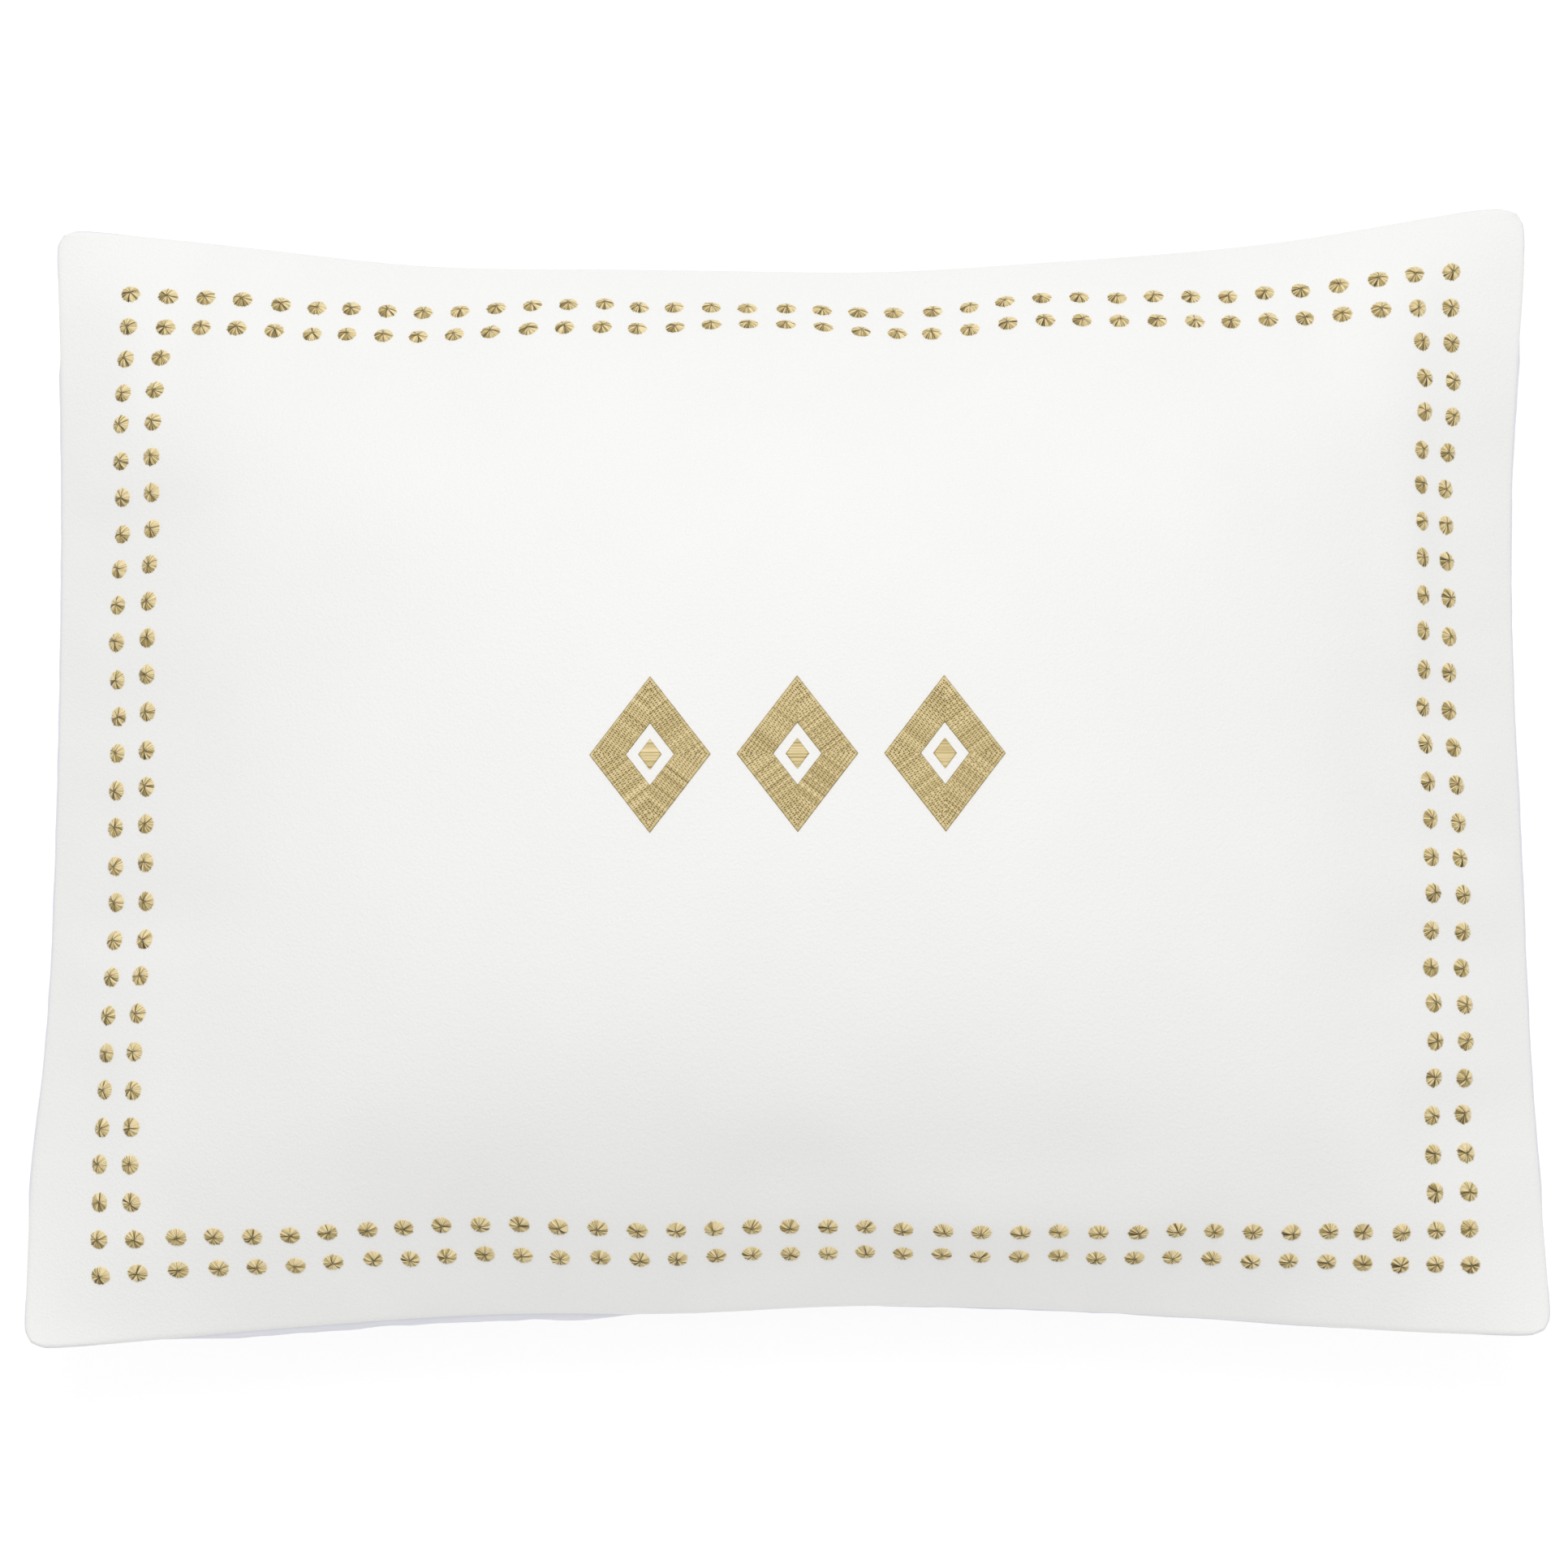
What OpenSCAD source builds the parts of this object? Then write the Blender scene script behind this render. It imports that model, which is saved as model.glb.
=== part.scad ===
// Rectangular leather pillow with a dotted gold border, a satin back and a zip.
// It lies on its back: +Z is the front's normal, +X runs along the length, and +Y
// points to the top edge of the design. The origin is under the middle, on the floor.
// Every sheet starts as a flat rectangle, and u and v run from -1 to 1 across it.

/* [Cover] */
// Length of the flat panels between the seams
flat_l = 660; // [600:1:720]
// Width of the flat panels between the seams
flat_w = 508; // [460:1:560]
// Height of the seam above the floor at the middle of the sides
seam_z = 58; // [50:1:70]
// How much higher the seam lies at the corners
corner_rise = 12; // [0:1:20]
// Rise of the front above the seam
crown = 88; // [60:1:100]
// Fall of the back below the seam, before the floor flattens it
belly = 95; // [80:1:110]
// How far the filling draws in the middle of each short side
pull_short = 5.5; // [4:0.5:16]
// How far the filling draws in the middle of each long side
pull_long = 22; // [16:0.5:34]
// How far the corners are drawn in, along the length and across it
corner_pull = [0, 4]; // [0:1:20]
// Thickness of the leather
leather_t = 1.1; // [0.8:0.1:1.6]
// Thickness of the satin
satin_t = 0.6; // [0.4:0.1:0.8]

/* [Embroidery] */
// Distance between neighbouring dots, along and across the rows
dot_pitch = 16.4; // [14:0.05:18]
// Dots along each long side and each short side of the outer row
dot_count = [37, 28]; // [10:1:60]
// Diameter of a dot
dot_d = 8.6; // [6:0.1:10]
// Height of a dot's crown above the leather
dot_h = 1.1; // [0.6:0.1:2]
// Length and width of a lozenge
lozenge_size = [50, 65]; // [30:1:90]
// Width of the lozenge's band
lozenge_band = 12; // [8:0.5:14]
// Distance between neighbouring lozenges
lozenge_pitch = 60.5; // [56:0.5:70]
// Middle of the row of lozenges on the flat panel
lozenge_mid = [5, -3]; // [-20:1:20]
// Height of the lozenge stitches above the leather
lozenge_h = 1; // [0.5:0.1:1.5]

/* [Zip] */
// Length of the zip's opening
zip_l = 400; // [300:10:420]
// Distance of the zip from the middle of the pillow
zip_y = 203; // [200:1:206]
// Height of the zip above the floor
zip_z = 30; // [29:0.5:31]
// Slope of the back where the zip lies
zip_slope = 40; // [36:1:44]
// Width of one tape
tape_w = 12; // [11:0.5:13]
// Width and height of one coil
coil_size = [2.4, 2]; // [1.5:0.1:4]
// Width of the slot between the coils
coil_slot = 1; // [0.9:0.1:1.4]
// Length of the slider
slider_l = 12.5; // [11:0.5:14]
// Width of the slider
slider_w = 8.6; // [8:0.1:9]
// Length of the pull, from its pin
pull_l = 17; // [12:1:18]

/* [Insert] */
// Distance of the insert's seam inside the cover's seam
insert_gap = 12; // [11:0.5:16]
// Thickness of the ticking
ticking_t = 0.9; // [0.6:0.1:1.2]

/* [Hidden] */

// Sharpness of the crown towards the short and the long sides
edge_power = [3, 3.2];
// How late the sheet is drawn in towards the short and the long sides
gather_power = [6, 3.5];
// Sharpness of the small curve at each corner's tip
tip_power = 40;
tip_pull = 2.5;
// Depth over which the belly turns flat on the floor
floor_blend = 14;
// Play between sheets that lie on each other
ply_gap = 0.1;
// How deep the stitches sink into the leather, so that they meet its facets
sink = 0.8;

// Distance of the panels' folded edges from the middle of the zip
zip_fold = 4.9;
// How far the tapes run past the opening, and their thickness
tape_end = 12;
tape_t = 0.6;
// Distance of the bar tacks from the ends of the opening
tack_gap = 6;
// The slider's plates, the post between them and its side flanges
plate_t = 1.1;
plate_low = -0.9;
plate_high = 2.3;
post_size = [3, 0.7];
flange_t = 0.8;
flange_low = 0.9;
// The slider's lugs and pin, and the pull that hangs on it
lug_gap = 2.6;
lug_t = 0.8;
lug_r = 1.2;
pin_z = 4.9;
pin_r = 0.6;
pin_play = 0.06;
eye_r = 1.5;
pull_t = 1.2;
pull_w = 5.5;
// The stops' clips
clip_l = 3;
clip_w = 3;
// Place of the closed slider along the zip
slider_x = slider_l / 2 + 1 - zip_l / 2;

leather = "white";
satin = "lavenderblush";
gold = "darkkhaki";
nylon = "whitesmoke";

// --- Shape of the filled cover ---

function bend(t, power) = sign(t) * pow(abs(t), power);
function side_hump(t) = pow(max(0, 1 - t * t), 1.2);
function tip(u, v) = tip_pull * pow(abs(u * v), tip_power);

// Where a point of the flat sheet comes to lie, seen from above. The sheet keeps its
// length along the curve, so its edges move in as the middle rises.
function plan_x(u, v) = flat_l / 2 * u - sign(u) * tip(u, v)
    - (corner_pull[0] + (pull_short - corner_pull[0]) * side_hump(v)) * bend(u, gather_power[0]);
function plan_y(u, v) = flat_w / 2 * v - sign(v) * tip(u, v)
    - (corner_pull[1] + (pull_long - corner_pull[1]) * side_hump(u)) * bend(v, gather_power[1]);

// 0 along the seam and 1 in the middle
function rise(u, v) =
    (1 - pow(abs(plan_x(u, v) / plan_x(1, v)), edge_power[0]))
    * (1 - pow(abs(plan_y(u, v) / plan_y(u, 1)), edge_power[1]));
function seam_height(u, v) = seam_z + corner_rise * pow(abs(u * v), 3);
function seam_point(u, v, lift) = [plan_x(u, v), plan_y(u, v), seam_height(u, v) + lift];
function front_point(u, v, lift) = seam_point(u, v, crown * rise(u, v) + lift);

// The floor stops the belly, with a soft bend where it lifts off
function on_floor(z) = max(z, 0) + pow(max(floor_blend - abs(z), 0), 2) / floor_blend / 4;
// 1 inside a band, 0 beyond it, with a smooth fall between
function window(d, inner, outer) =
    let (t = min(1, max(0, (abs(d) - inner) / (outer - inner)))) 1 - t * t * (3 - 2 * t);
// The stiff zip keeps the back straight along its length
function zip_hold(x, y) = window(x, zip_l / 2 + 25, zip_l / 2 + 60) * window(y + zip_y, 11, 22);
function zip_plane(y) = zip_z - (y + zip_y) * tan(zip_slope) - (ply_gap + satin_t) / cos(zip_slope);
function back_z(u, v, x, y) =
    let (hold = zip_hold(x, y), free = on_floor(seam_height(u, v) - satin_t - belly * rise(u, v)))
    hold * zip_plane(y) + (1 - hold) * free;
function back_point(u, v, lift) =
    let (x = plan_x(u, v), y = plan_y(u, v)) [x, y, back_z(u, v, x, y) + lift];

// The v of the sheet's point that lies at a given y, found by repeated correction
function v_at(u, y, steps = 8) =
    steps == 0 ? y / flat_w * 2
    : let (v = v_at(u, y, steps - 1)) v + (y - plan_y(u, v)) / flat_w * 2;

// --- Solids from sheets ---

// n + 1 places from 0 to 1, closer together towards the ends
function places(n) = [for (i = [0:n]) (i / n + (1 - cos(180 * i / n)) / 2) / 2];
// The same, from -1 to 1
function across(n) = [for (k = places(n)) 2 * k - 1];

// A closed solid between two grids of points with the same rows and columns
module sheet_solid(top, bottom) {
    rows = len(top);
    cols = len(top[0]);
    under = rows * cols;
    function at(r, c) = r * cols + c;
    function two(a, b, c, d) = [[a, b, c], [a, c, d]];
    cells = [for (r = [0:rows - 2], c = [0:cols - 2])
        [at(r, c), at(r + 1, c), at(r + 1, c + 1), at(r, c + 1)]];
    rim = concat(
        [for (c = [0:cols - 1]) at(0, c)],
        [for (r = [1:rows - 1]) at(r, cols - 1)],
        [for (c = [cols - 2:-1:0]) at(rows - 1, c)],
        [for (r = [rows - 2:-1:1]) at(r, 0)]
    );
    last = len(rim) - 1;
    polyhedron(
        concat([for (row = top) each row], [for (row = bottom) each row]),
        concat(
            [for (q = cells) each two(q[0], q[1], q[2], q[3])],
            [for (q = cells) each two(q[3] + under, q[2] + under, q[1] + under, q[0] + under)],
            [for (i = [0:last])
                let (a = rim[i], b = rim[i == last ? 0 : i + 1])
                each two(a, b, b + under, a + under)]
        )
    );
}

// A closed band through loops of points, the last loop joined to the first
module loop_solid(loops) {
    n = len(loops[0]);
    m = len(loops);
    polyhedron(
        [for (loop = loops) each loop],
        [for (k = [0:m - 1], i = [0:n - 1])
            let (
                a = k * n + i,
                b = k * n + (i + 1) % n,
                c = ((k + 1) % m) * n + (i + 1) % n,
                d = ((k + 1) % m) * n + i
            )
            each [[a, b, c], [a, c, d]]]
    );
}

// Points of the flat sheet, as u and v, along a rectangle inside the seam
function flat_loop(inset, n) =
    let (
        a = 1 - inset / flat_l * 2,
        b = 1 - inset / flat_w * 2,
        steps = [for (i = [0:n - 1]) 2 * i / n - 1]
    )
    concat(
        [for (t = steps) [a * t, -b]],
        [for (t = steps) [a, b * t]],
        [for (t = steps) [-a * t, b]],
        [for (t = steps) [-a, -b * t]]
    );

// --- Cover ---

module front_panel() {
    us = across(40);
    vs = across(30);
    color(leather) sheet_solid(
        [for (v = vs) [for (u = us) front_point(u, v, ply_gap + leather_t)]],
        [for (v = vs) [for (u = us) front_point(u, v, ply_gap)]]
    );
}

// The two parts of the back leave the zip free between their folded edges, and meet
// beyond its ends
function fold_y(u) =
    ply_gap + zip_fold * cos(zip_slope)
        * window(u * flat_l / 2, zip_l / 2 + tack_gap, zip_l / 2 + 30);

module back_part(low, high, rows) {
    us = across(40);
    grid = [for (k = places(rows)) [for (i = [0:len(us) - 1]) [us[i], low[i] + (high[i] - low[i]) * k]]];
    color(satin) sheet_solid(
        [for (row = grid) [for (p = row) back_point(p[0], p[1], satin_t)]],
        [for (row = grid) [for (p = row) back_point(p[0], p[1], 0)]]
    );
}

module back_panel()
    back_part([for (u = across(40)) v_at(u, fold_y(u) - zip_y)], [for (u = across(40)) 1], 22);

module back_strip()
    back_part([for (u = across(40)) -1], [for (u = across(40)) v_at(u, -fold_y(u) - zip_y)], 5);

// Both panels' edges, turned in along the seam. They thin out where the cover does.
module seam_allowance() {
    function edge(inset, share) = [for (p = flat_loop(inset, 24))
        seam_point(p[0], p[1], share * min(0.8, 0.2 * crown * rise(p[0], p[1])))];
    color(leather) loop_solid([edge(9.5, 1), edge(1.5, 1), edge(1.5, -1), edge(9.5, -1)]);
}

// A round thread along a rectangle inside the seam
module loop_thread(inset, r)
    color(leather) loop_solid([
        for (a = [180:-90:-90])
            [for (p = flat_loop(inset - r * cos(a), 24)) seam_point(p[0], p[1], r * sin(a))]
    ]);

module seam_thread() loop_thread(0.95, 0.35);

// --- Embroidery ---

// Places children on the front panel's leather, their z along its normal
module on_front(flat_x, flat_y) {
    u = flat_x / flat_l * 2;
    v = flat_y / flat_w * 2;
    step = 0.01;
    lift = ply_gap + leather_t;
    along = front_point(u + step, v, lift) - front_point(u - step, v, lift);
    over = front_point(u, v + step, lift) - front_point(u, v - step, lift);
    normal = cross(along, over) / norm(cross(along, over));
    x_axis = along / norm(along);
    y_axis = cross(normal, x_axis);
    p = front_point(u, v, lift);
    multmatrix([
        [x_axis[0], y_axis[0], normal[0], p[0]],
        [x_axis[1], y_axis[1], normal[1], p[1]],
        [x_axis[2], y_axis[2], normal[2], p[2]]
    ]) children();
}

// A low dome with a straight side below the leather
module dot() {
    ball_r = (pow(dot_d / 2, 2) + pow(dot_h, 2)) / dot_h / 2;
    intersection() {
        translate([0, 0, -sink]) cylinder(h = sink + dot_h, d = dot_d, $fn = 32);
        translate([0, 0, dot_h - ball_r]) sphere(ball_r, $fn = 96);
    }
}

// One row of dots along all four sides, a number of steps inside the outer row
module dot_row(inside) {
    columns = dot_count[0] - 1 - 2 * inside;
    rows = dot_count[1] - 1 - 2 * inside;
    color(gold) {
        for (i = [0:columns], side = [-1, 1])
            on_front((i - columns / 2) * dot_pitch, side * rows / 2 * dot_pitch) dot();
        for (i = [1:rows - 1], side = [-1, 1])
            on_front(side * columns / 2 * dot_pitch, (i - rows / 2) * dot_pitch) dot();
    }
}

module dots_outer() dot_row(0);
module dots_inner() dot_row(1);

module diamond(size) polygon([[size[0], 0], [0, size[1]], [-size[0], 0], [0, -size[1]]] / 2);

// A lozenge-shaped band with a small lozenge in its middle
module lozenge(step) {
    band_share = 2 * lozenge_band * norm(lozenge_size) / (lozenge_size[0] * lozenge_size[1]);
    core_share = 0.2;
    color(gold) on_front(lozenge_mid[0] + step * lozenge_pitch, lozenge_mid[1])
        translate([0, 0, -sink]) linear_extrude(sink + lozenge_h) {
            difference() {
                diamond(lozenge_size);
                diamond(lozenge_size * (1 - band_share));
            }
            diamond(lozenge_size * core_share);
        }
}

module lozenge_left() lozenge(-1);
module lozenge_centre() lozenge(0);
module lozenge_right() lozenge(1);

// Stabiliser behind the rows of dots
module border_backing() {
    insets = [62, 43, 24];
    color(nylon) loop_solid(concat(
        [for (inset = insets) [for (p = flat_loop(inset, 24)) front_point(p[0], p[1], -0.9)]],
        [for (i = [2:-1:0]) [for (p = flat_loop(insets[i], 24)) front_point(p[0], p[1], -1.7)]]
    ));
}

// Stabiliser behind the lozenges
module lozenge_backing() {
    half = [1.5 * lozenge_pitch + 4, lozenge_size[1] / 2 + 8];
    function uv(i, j) = [
        (lozenge_mid[0] + half[0] * i) / flat_l * 2,
        (lozenge_mid[1] + half[1] * j) / flat_w * 2
    ];
    function grid(lift) = [for (j = [-1:0.25:1]) [for (i = [-1:0.125:1])
        let (p = uv(i, j)) front_point(p[0], p[1], lift)]];
    color(nylon) sheet_solid(grid(-0.6), grid(-1));
}

// --- Zip ---

// Places children in the zip's own frame: x along it, y towards the bottom seam, z out
module at_zip() translate([0, -zip_y, zip_z]) rotate([180 - zip_slope, 0, 0]) children();

module zip_tape(side)
    color(nylon) at_zip()
        translate([-zip_l / 2 - tape_end, side > 0 ? coil_slot / 2 : -coil_slot / 2 - tape_w, -tape_t])
            cube([zip_l + 2 * tape_end, tape_w, tape_t]);

module zip_tape_upper() zip_tape(-1);
module zip_tape_lower() zip_tape(1);

// A coil's outer shape: a bar with rounded outer edges
module zip_coil(side) {
    r = 0.6;
    color(nylon) at_zip() translate([-zip_l / 2, 0, 0]) rotate([90, 0, 90]) linear_extrude(zip_l)
        translate([side * (coil_slot + coil_size[0]) / 2, 0]) {
            translate([-coil_size[0] / 2, 0]) square([coil_size[0], coil_size[1] - r]);
            translate([r - coil_size[0] / 2, coil_size[1] - r]) circle(r, $fn = 24);
            translate([coil_size[0] / 2 - r, coil_size[1] - r]) circle(r, $fn = 24);
            translate([r - coil_size[0] / 2, 0]) square([coil_size[0] - 2 * r, coil_size[1]]);
        }
}

module zip_coil_upper() zip_coil(-1);
module zip_coil_lower() zip_coil(1);

// A plate in the zip's frame, centred along x and y, between two heights
module plate(size, low, high)
    translate([-size[0] / 2, -size[1] / 2, low]) cube([size[0], size[1], high - low]);

// Two plates joined by a post in the slot, with lugs and a pin for the pull
module zip_slider() {
    color("silver") at_zip() translate([slider_x, 0, 0]) {
        plate([slider_l, slider_w], plate_low - plate_t, plate_low);
        difference() {
            plate([slider_l, slider_w], flange_low, plate_high + plate_t);
            plate([slider_l + 1, slider_w - 2 * flange_t], flange_low - 1, plate_high);
        }
        translate([slider_l / 2 - post_size[0], -post_size[1] / 2, plate_low - 0.1])
            cube([post_size[0], post_size[1], plate_high - plate_low + 0.2]);
        for (side = [-1, 1]) translate([0, side * (lug_gap + lug_t) / 2, 0]) {
            plate([2 * lug_r, lug_t], plate_high + plate_t - 0.1, pin_z);
            translate([0, lug_t / 2, pin_z]) rotate([90, 0, 0]) cylinder(h = lug_t, r = lug_r, $fn = 32);
        }
        translate([0, lug_gap / 2 + 0.1, pin_z]) rotate([90, 0, 0])
            cylinder(h = lug_gap + 0.2, r = pin_r, $fn = 32);
    }
}

// A flat tongue with an eye on the pin, hanging straight out from the slider
module zip_pull() {
    eye_w = lug_gap - 0.4;
    color("silver") at_zip() translate([slider_x, 0, pin_z]) {
        difference() {
            union() {
                translate([0, eye_w / 2, 0]) rotate([90, 0, 0]) cylinder(h = eye_w, r = eye_r, $fn = 32);
                plate([pull_t, eye_w], 0, eye_r + 1.2);
            }
            translate([0, eye_w, 0]) rotate([90, 0, 0])
                cylinder(h = 2 * eye_w, r = pin_r + pin_play, $fn = 32);
        }
        translate([-pull_t / 2, 0, 0]) rotate([90, 0, 90]) linear_extrude(pull_t) {
            translate([-pull_w / 2, eye_r + 1]) square([pull_w, pull_l - eye_r - 1 - pull_w / 2]);
            translate([0, pull_l - pull_w / 2]) circle(d = pull_w, $fn = 48);
        }
    }
}

// A clip around the tape's inner edge, open towards the tape's far side
module tape_clip(side)
    difference() {
        translate([0, side > 0 ? 0.1 : -0.1 - clip_w, -1]) cube([clip_l, clip_w, 1 + coil_size[1] + 0.2]);
        translate([-1, side > 0 ? 0.4 : -0.4 - 2 * clip_w, -tape_t - 0.05])
            cube([clip_l + 2, 2 * clip_w, tape_t + 0.1]);
    }

module zip_closed_stops()
    color("silver") at_zip() translate([-zip_l / 2 - 0.1 - clip_l, 0, 0]) {
        tape_clip(-1);
        tape_clip(1);
    }

module zip_open_stop()
    color("silver") at_zip() translate([zip_l / 2 + 0.1, 0, 0]) {
        tape_clip(-1);
        tape_clip(1);
        translate([0, -0.2, -1]) cube([clip_l, 0.4, 1 + coil_size[1] + 0.2]);
    }

// Short dense bars of thread across both ends of the opening
module zip_bar_tacks()
    color(nylon) at_zip() for (side = [-1, 1])
        translate([side * (zip_l / 2 + tack_gap), 0, 0])
            plate([2, 14], ply_gap + satin_t - 0.15, ply_gap + satin_t + 0.4);

// Two rows of stitches that hold the folded edges to the tapes
module zip_stitching() {
    pitch = 6;
    count = floor(zip_l / pitch);
    color(nylon) at_zip() for (i = [0:count - 1], side = [-1, 1])
        translate([(i - (count - 1) / 2) * pitch - 2, side * (zip_fold + 2), ply_gap + satin_t + 0.05])
            rotate([0, 90, 0]) cylinder(h = 4, r = 0.3, $fn = 16);
}

// --- Insert ---

// The insert has the cover's shape, a little smaller all round
function insert_top(s, r, less) = s + ticking_t - satin_t + (crown - less) * r;
function insert_bottom(s, r, less, low) = max(on_floor(s - satin_t - (belly - less) * r), low);

// A grid of the insert's points. Its heights follow from the seam's height and the rise.
function insert_grid(gap, height) = [for (v = across(16)) [for (u = across(22))
    let (a = u * (1 - gap / flat_l * 2), b = v * (1 - gap / flat_w * 2))
    [plan_x(a, b), plan_y(a, b), height(seam_height(a, b), rise(u, v))]
]];

module insert_front()
    color("white") sheet_solid(
        insert_grid(insert_gap, function (s, r) insert_top(s, r, 4) + ply_gap + ticking_t),
        insert_grid(insert_gap, function (s, r) insert_top(s, r, 4) + ply_gap)
    );

module insert_back()
    color("white") sheet_solid(
        insert_grid(insert_gap, function (s, r) insert_bottom(s, r, 3, 1.2) + ticking_t),
        insert_grid(insert_gap, function (s, r) insert_bottom(s, r, 3, 1.2))
    );

module insert_seam() loop_thread(insert_gap + 0.95, 0.3);

module insert_filling()
    color("white") sheet_solid(
        insert_grid(insert_gap + 8, function (s, r) insert_top(s, r, 8) + 0.2),
        insert_grid(insert_gap + 8, function (s, r) insert_bottom(s, r, 8, 2.6) + ticking_t - 0.2)
    );

front_panel();
back_panel();
back_strip();
seam_allowance();
seam_thread();
dots_outer();
dots_inner();
lozenge_left();
lozenge_centre();
lozenge_right();
border_backing();
lozenge_backing();
zip_tape_upper();
zip_tape_lower();
zip_coil_upper();
zip_coil_lower();
zip_slider();
zip_pull();
zip_closed_stops();
zip_open_stop();
zip_bar_tacks();
zip_stitching();
insert_front();
insert_back();
insert_seam();
insert_filling();
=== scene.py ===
"""Embroidered white leather pillow: gold dots and lozenges, a satin back with a zip, and its insert."""
import math

import bpy
import numpy as np
from mathutils import Matrix, Vector


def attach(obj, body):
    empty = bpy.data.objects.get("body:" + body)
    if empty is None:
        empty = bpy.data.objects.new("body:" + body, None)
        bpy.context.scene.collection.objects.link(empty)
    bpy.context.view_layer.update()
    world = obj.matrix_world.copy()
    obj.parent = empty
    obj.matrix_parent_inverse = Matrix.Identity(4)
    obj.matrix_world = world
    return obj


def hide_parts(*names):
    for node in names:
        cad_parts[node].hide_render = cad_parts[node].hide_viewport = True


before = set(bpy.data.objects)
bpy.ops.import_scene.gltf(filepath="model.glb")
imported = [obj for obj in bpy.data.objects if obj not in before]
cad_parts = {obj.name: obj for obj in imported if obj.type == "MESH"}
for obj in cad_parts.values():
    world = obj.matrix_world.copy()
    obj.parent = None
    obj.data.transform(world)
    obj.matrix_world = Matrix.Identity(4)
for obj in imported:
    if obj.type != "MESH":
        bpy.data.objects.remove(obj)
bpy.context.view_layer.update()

# ------------ driving sizes, in metres
MM = 0.001
FLAT_L, FLAT_W = 660 * MM, 508 * MM  # the cut panels between the seams
SEAM_Z = 58 * MM  # seam height at the middle of the sides
CORNER_RISE = 12 * MM  # the corners lie higher
CROWN = 88 * MM  # rise of the front above the seam
BELLY = 95 * MM  # fall of the back before the floor flattens it
PULL = np.array([5.5, 22]) * MM  # the sides' middles are drawn in by this, along x and y
CORNER_PULL = np.array([0, 4]) * MM
CORNER_R = 10 * MM  # at the tips of the cover
EDGE_POWER = (3, 3.2)
GATHER_POWER = (6, 3.5)
TIP_PULL, TIP_POWER = 2.5 * MM, 40
FLOOR_BLEND = 14 * MM
LEATHER_T = 1.1 * MM
EDGE_ROLL = 2.4 * MM  # radius of the front's turned edge
SHEET_STEP = 2.9 * MM  # between the points of a finished panel
SATIN_T = 0.6 * MM

DOT_PITCH = 16.4 * MM
DOT_COUNT = (37, 28)
DOT_R = 4.45 * MM
DOT_SLIP = 0.25 * MM  # spread of the dots' places
PAINTED_SHEEN_ANGLE = math.radians(50)  # threads that run this way get the most painted sheen, those opposite the most painted shade
LOZENGE_SIZE = np.array([50, 65]) * MM
LOZENGE_BAND = 12 * MM
LOZENGE_PITCH = 60.5 * MM
LOZENGE_MID = np.array([5, -3]) * MM

INSERT_INSET = 12 * MM  # from the cover's seam to the insert's rim, on the flat panel
INSERT_GAPS = (LEATHER_T + 2.4 * MM, SATIN_T + 1.2 * MM)  # under the front's outer face, over the back's

ZIP_Y, ZIP_Z, ZIP_SLOPE = 203 * MM, 30 * MM, math.radians(40)
ZIP_L = 400 * MM
ZIP_FOLD = 4.9 * MM

# Small dents and bulges of this pillow: place on the flat panel, how far each reaches along x
# and y, and its shift along x, y and z, in millimetres. The filling draws each side in unevenly.
UNEVEN = [
    (-165, 215, 75, 60, 2.0, -4.5, 0.0),
    (45, 215, 60, 60, 0.0, -2.5, 0.0),
    (300, 240, 60, 60, 2.5, 4.5, 0.0),
    (-50, -225, 60, 60, 2.0, -4.0, 0.0),
    (60, -197, 130, 22, 0.0, -2.6, 1.0),
    (330, -254, 50, 50, -2.0, 3.0, 0.0),
    (290, -150, 40, 70, -3.5, 3.5, 0.0),
    (295, 50, 28, 80, -4.0, -0.5, 0.0),
    (272, 90, 16, 110, 3.0, 0.0, 1.0),
    (330, 220, 50, 50, 3.0, 3.5, 0.0),
    (-330, -180, 50, 50, -3.0, 1.0, 0.0),
    (-278, -150, 18, 70, -2.4, 0.0, 0.5),
    (-230, 245, 60, 60, 4.0, 0.0, 0.0),
    (-200, -245, 80, 60, 3.5, 0.0, 0.0),
    (-5, 197, 45, 16, 1.0, 4.5, 0.0),
    (-105, 221, 45, 22, 1.6, 2.6, 0.0),
    (105, 213, 45, 22, -0.6, 2.6, 0.0),
    (-205, -200, 60, 22, -0.5, -2.6, 0.0),
    (110, -200, 150, 22, -0.3, -3.6, 0.0),
    (287, -20, 30, 60, 2.6, 0.0, 0.0),
    (290, 165, 30, 25, 2.2, 0.0, 0.0),
    (287, -125, 30, 40, 1.2, 0.0, 0.0),
    (-285, 50, 30, 70, -1.7, 0.0, 0.0),
    (-285, -130, 30, 50, 0.9, 0.0, 0.0),
]


# ------------ shape of the filled cover
def plan(u, v):
    """Where a point of the flat sheet lies, seen from above. u and v run from -1 to 1."""
    hump_u = np.maximum(0, 1 - u * u) ** 1.2
    hump_v = np.maximum(0, 1 - v * v) ** 1.2
    tip = TIP_PULL * np.abs(u * v) ** TIP_POWER
    draw_x = CORNER_PULL[0] + (PULL[0] - CORNER_PULL[0]) * hump_v
    draw_y = CORNER_PULL[1] + (PULL[1] - CORNER_PULL[1]) * hump_u
    x = FLAT_L / 2 * u - np.sign(u) * (tip + draw_x * np.abs(u) ** GATHER_POWER[0])
    y = FLAT_W / 2 * v - np.sign(v) * (tip + draw_y * np.abs(v) ** GATHER_POWER[1])
    return x, y


def uneven_shift(u, v):
    """The shift of a point by the small dents and bulges of the outline."""
    x, y = u * FLAT_L / 2, v * FLAT_W / 2
    shift = np.zeros(x.shape + (3,))
    for px, py, reach_x, reach_y, *move in UNEVEN:
        near = np.exp(-(((x / MM - px) / reach_x) ** 2) - ((y / MM - py) / reach_y) ** 2)
        shift += near[..., None] * np.array(move) * MM
    return shift


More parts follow.
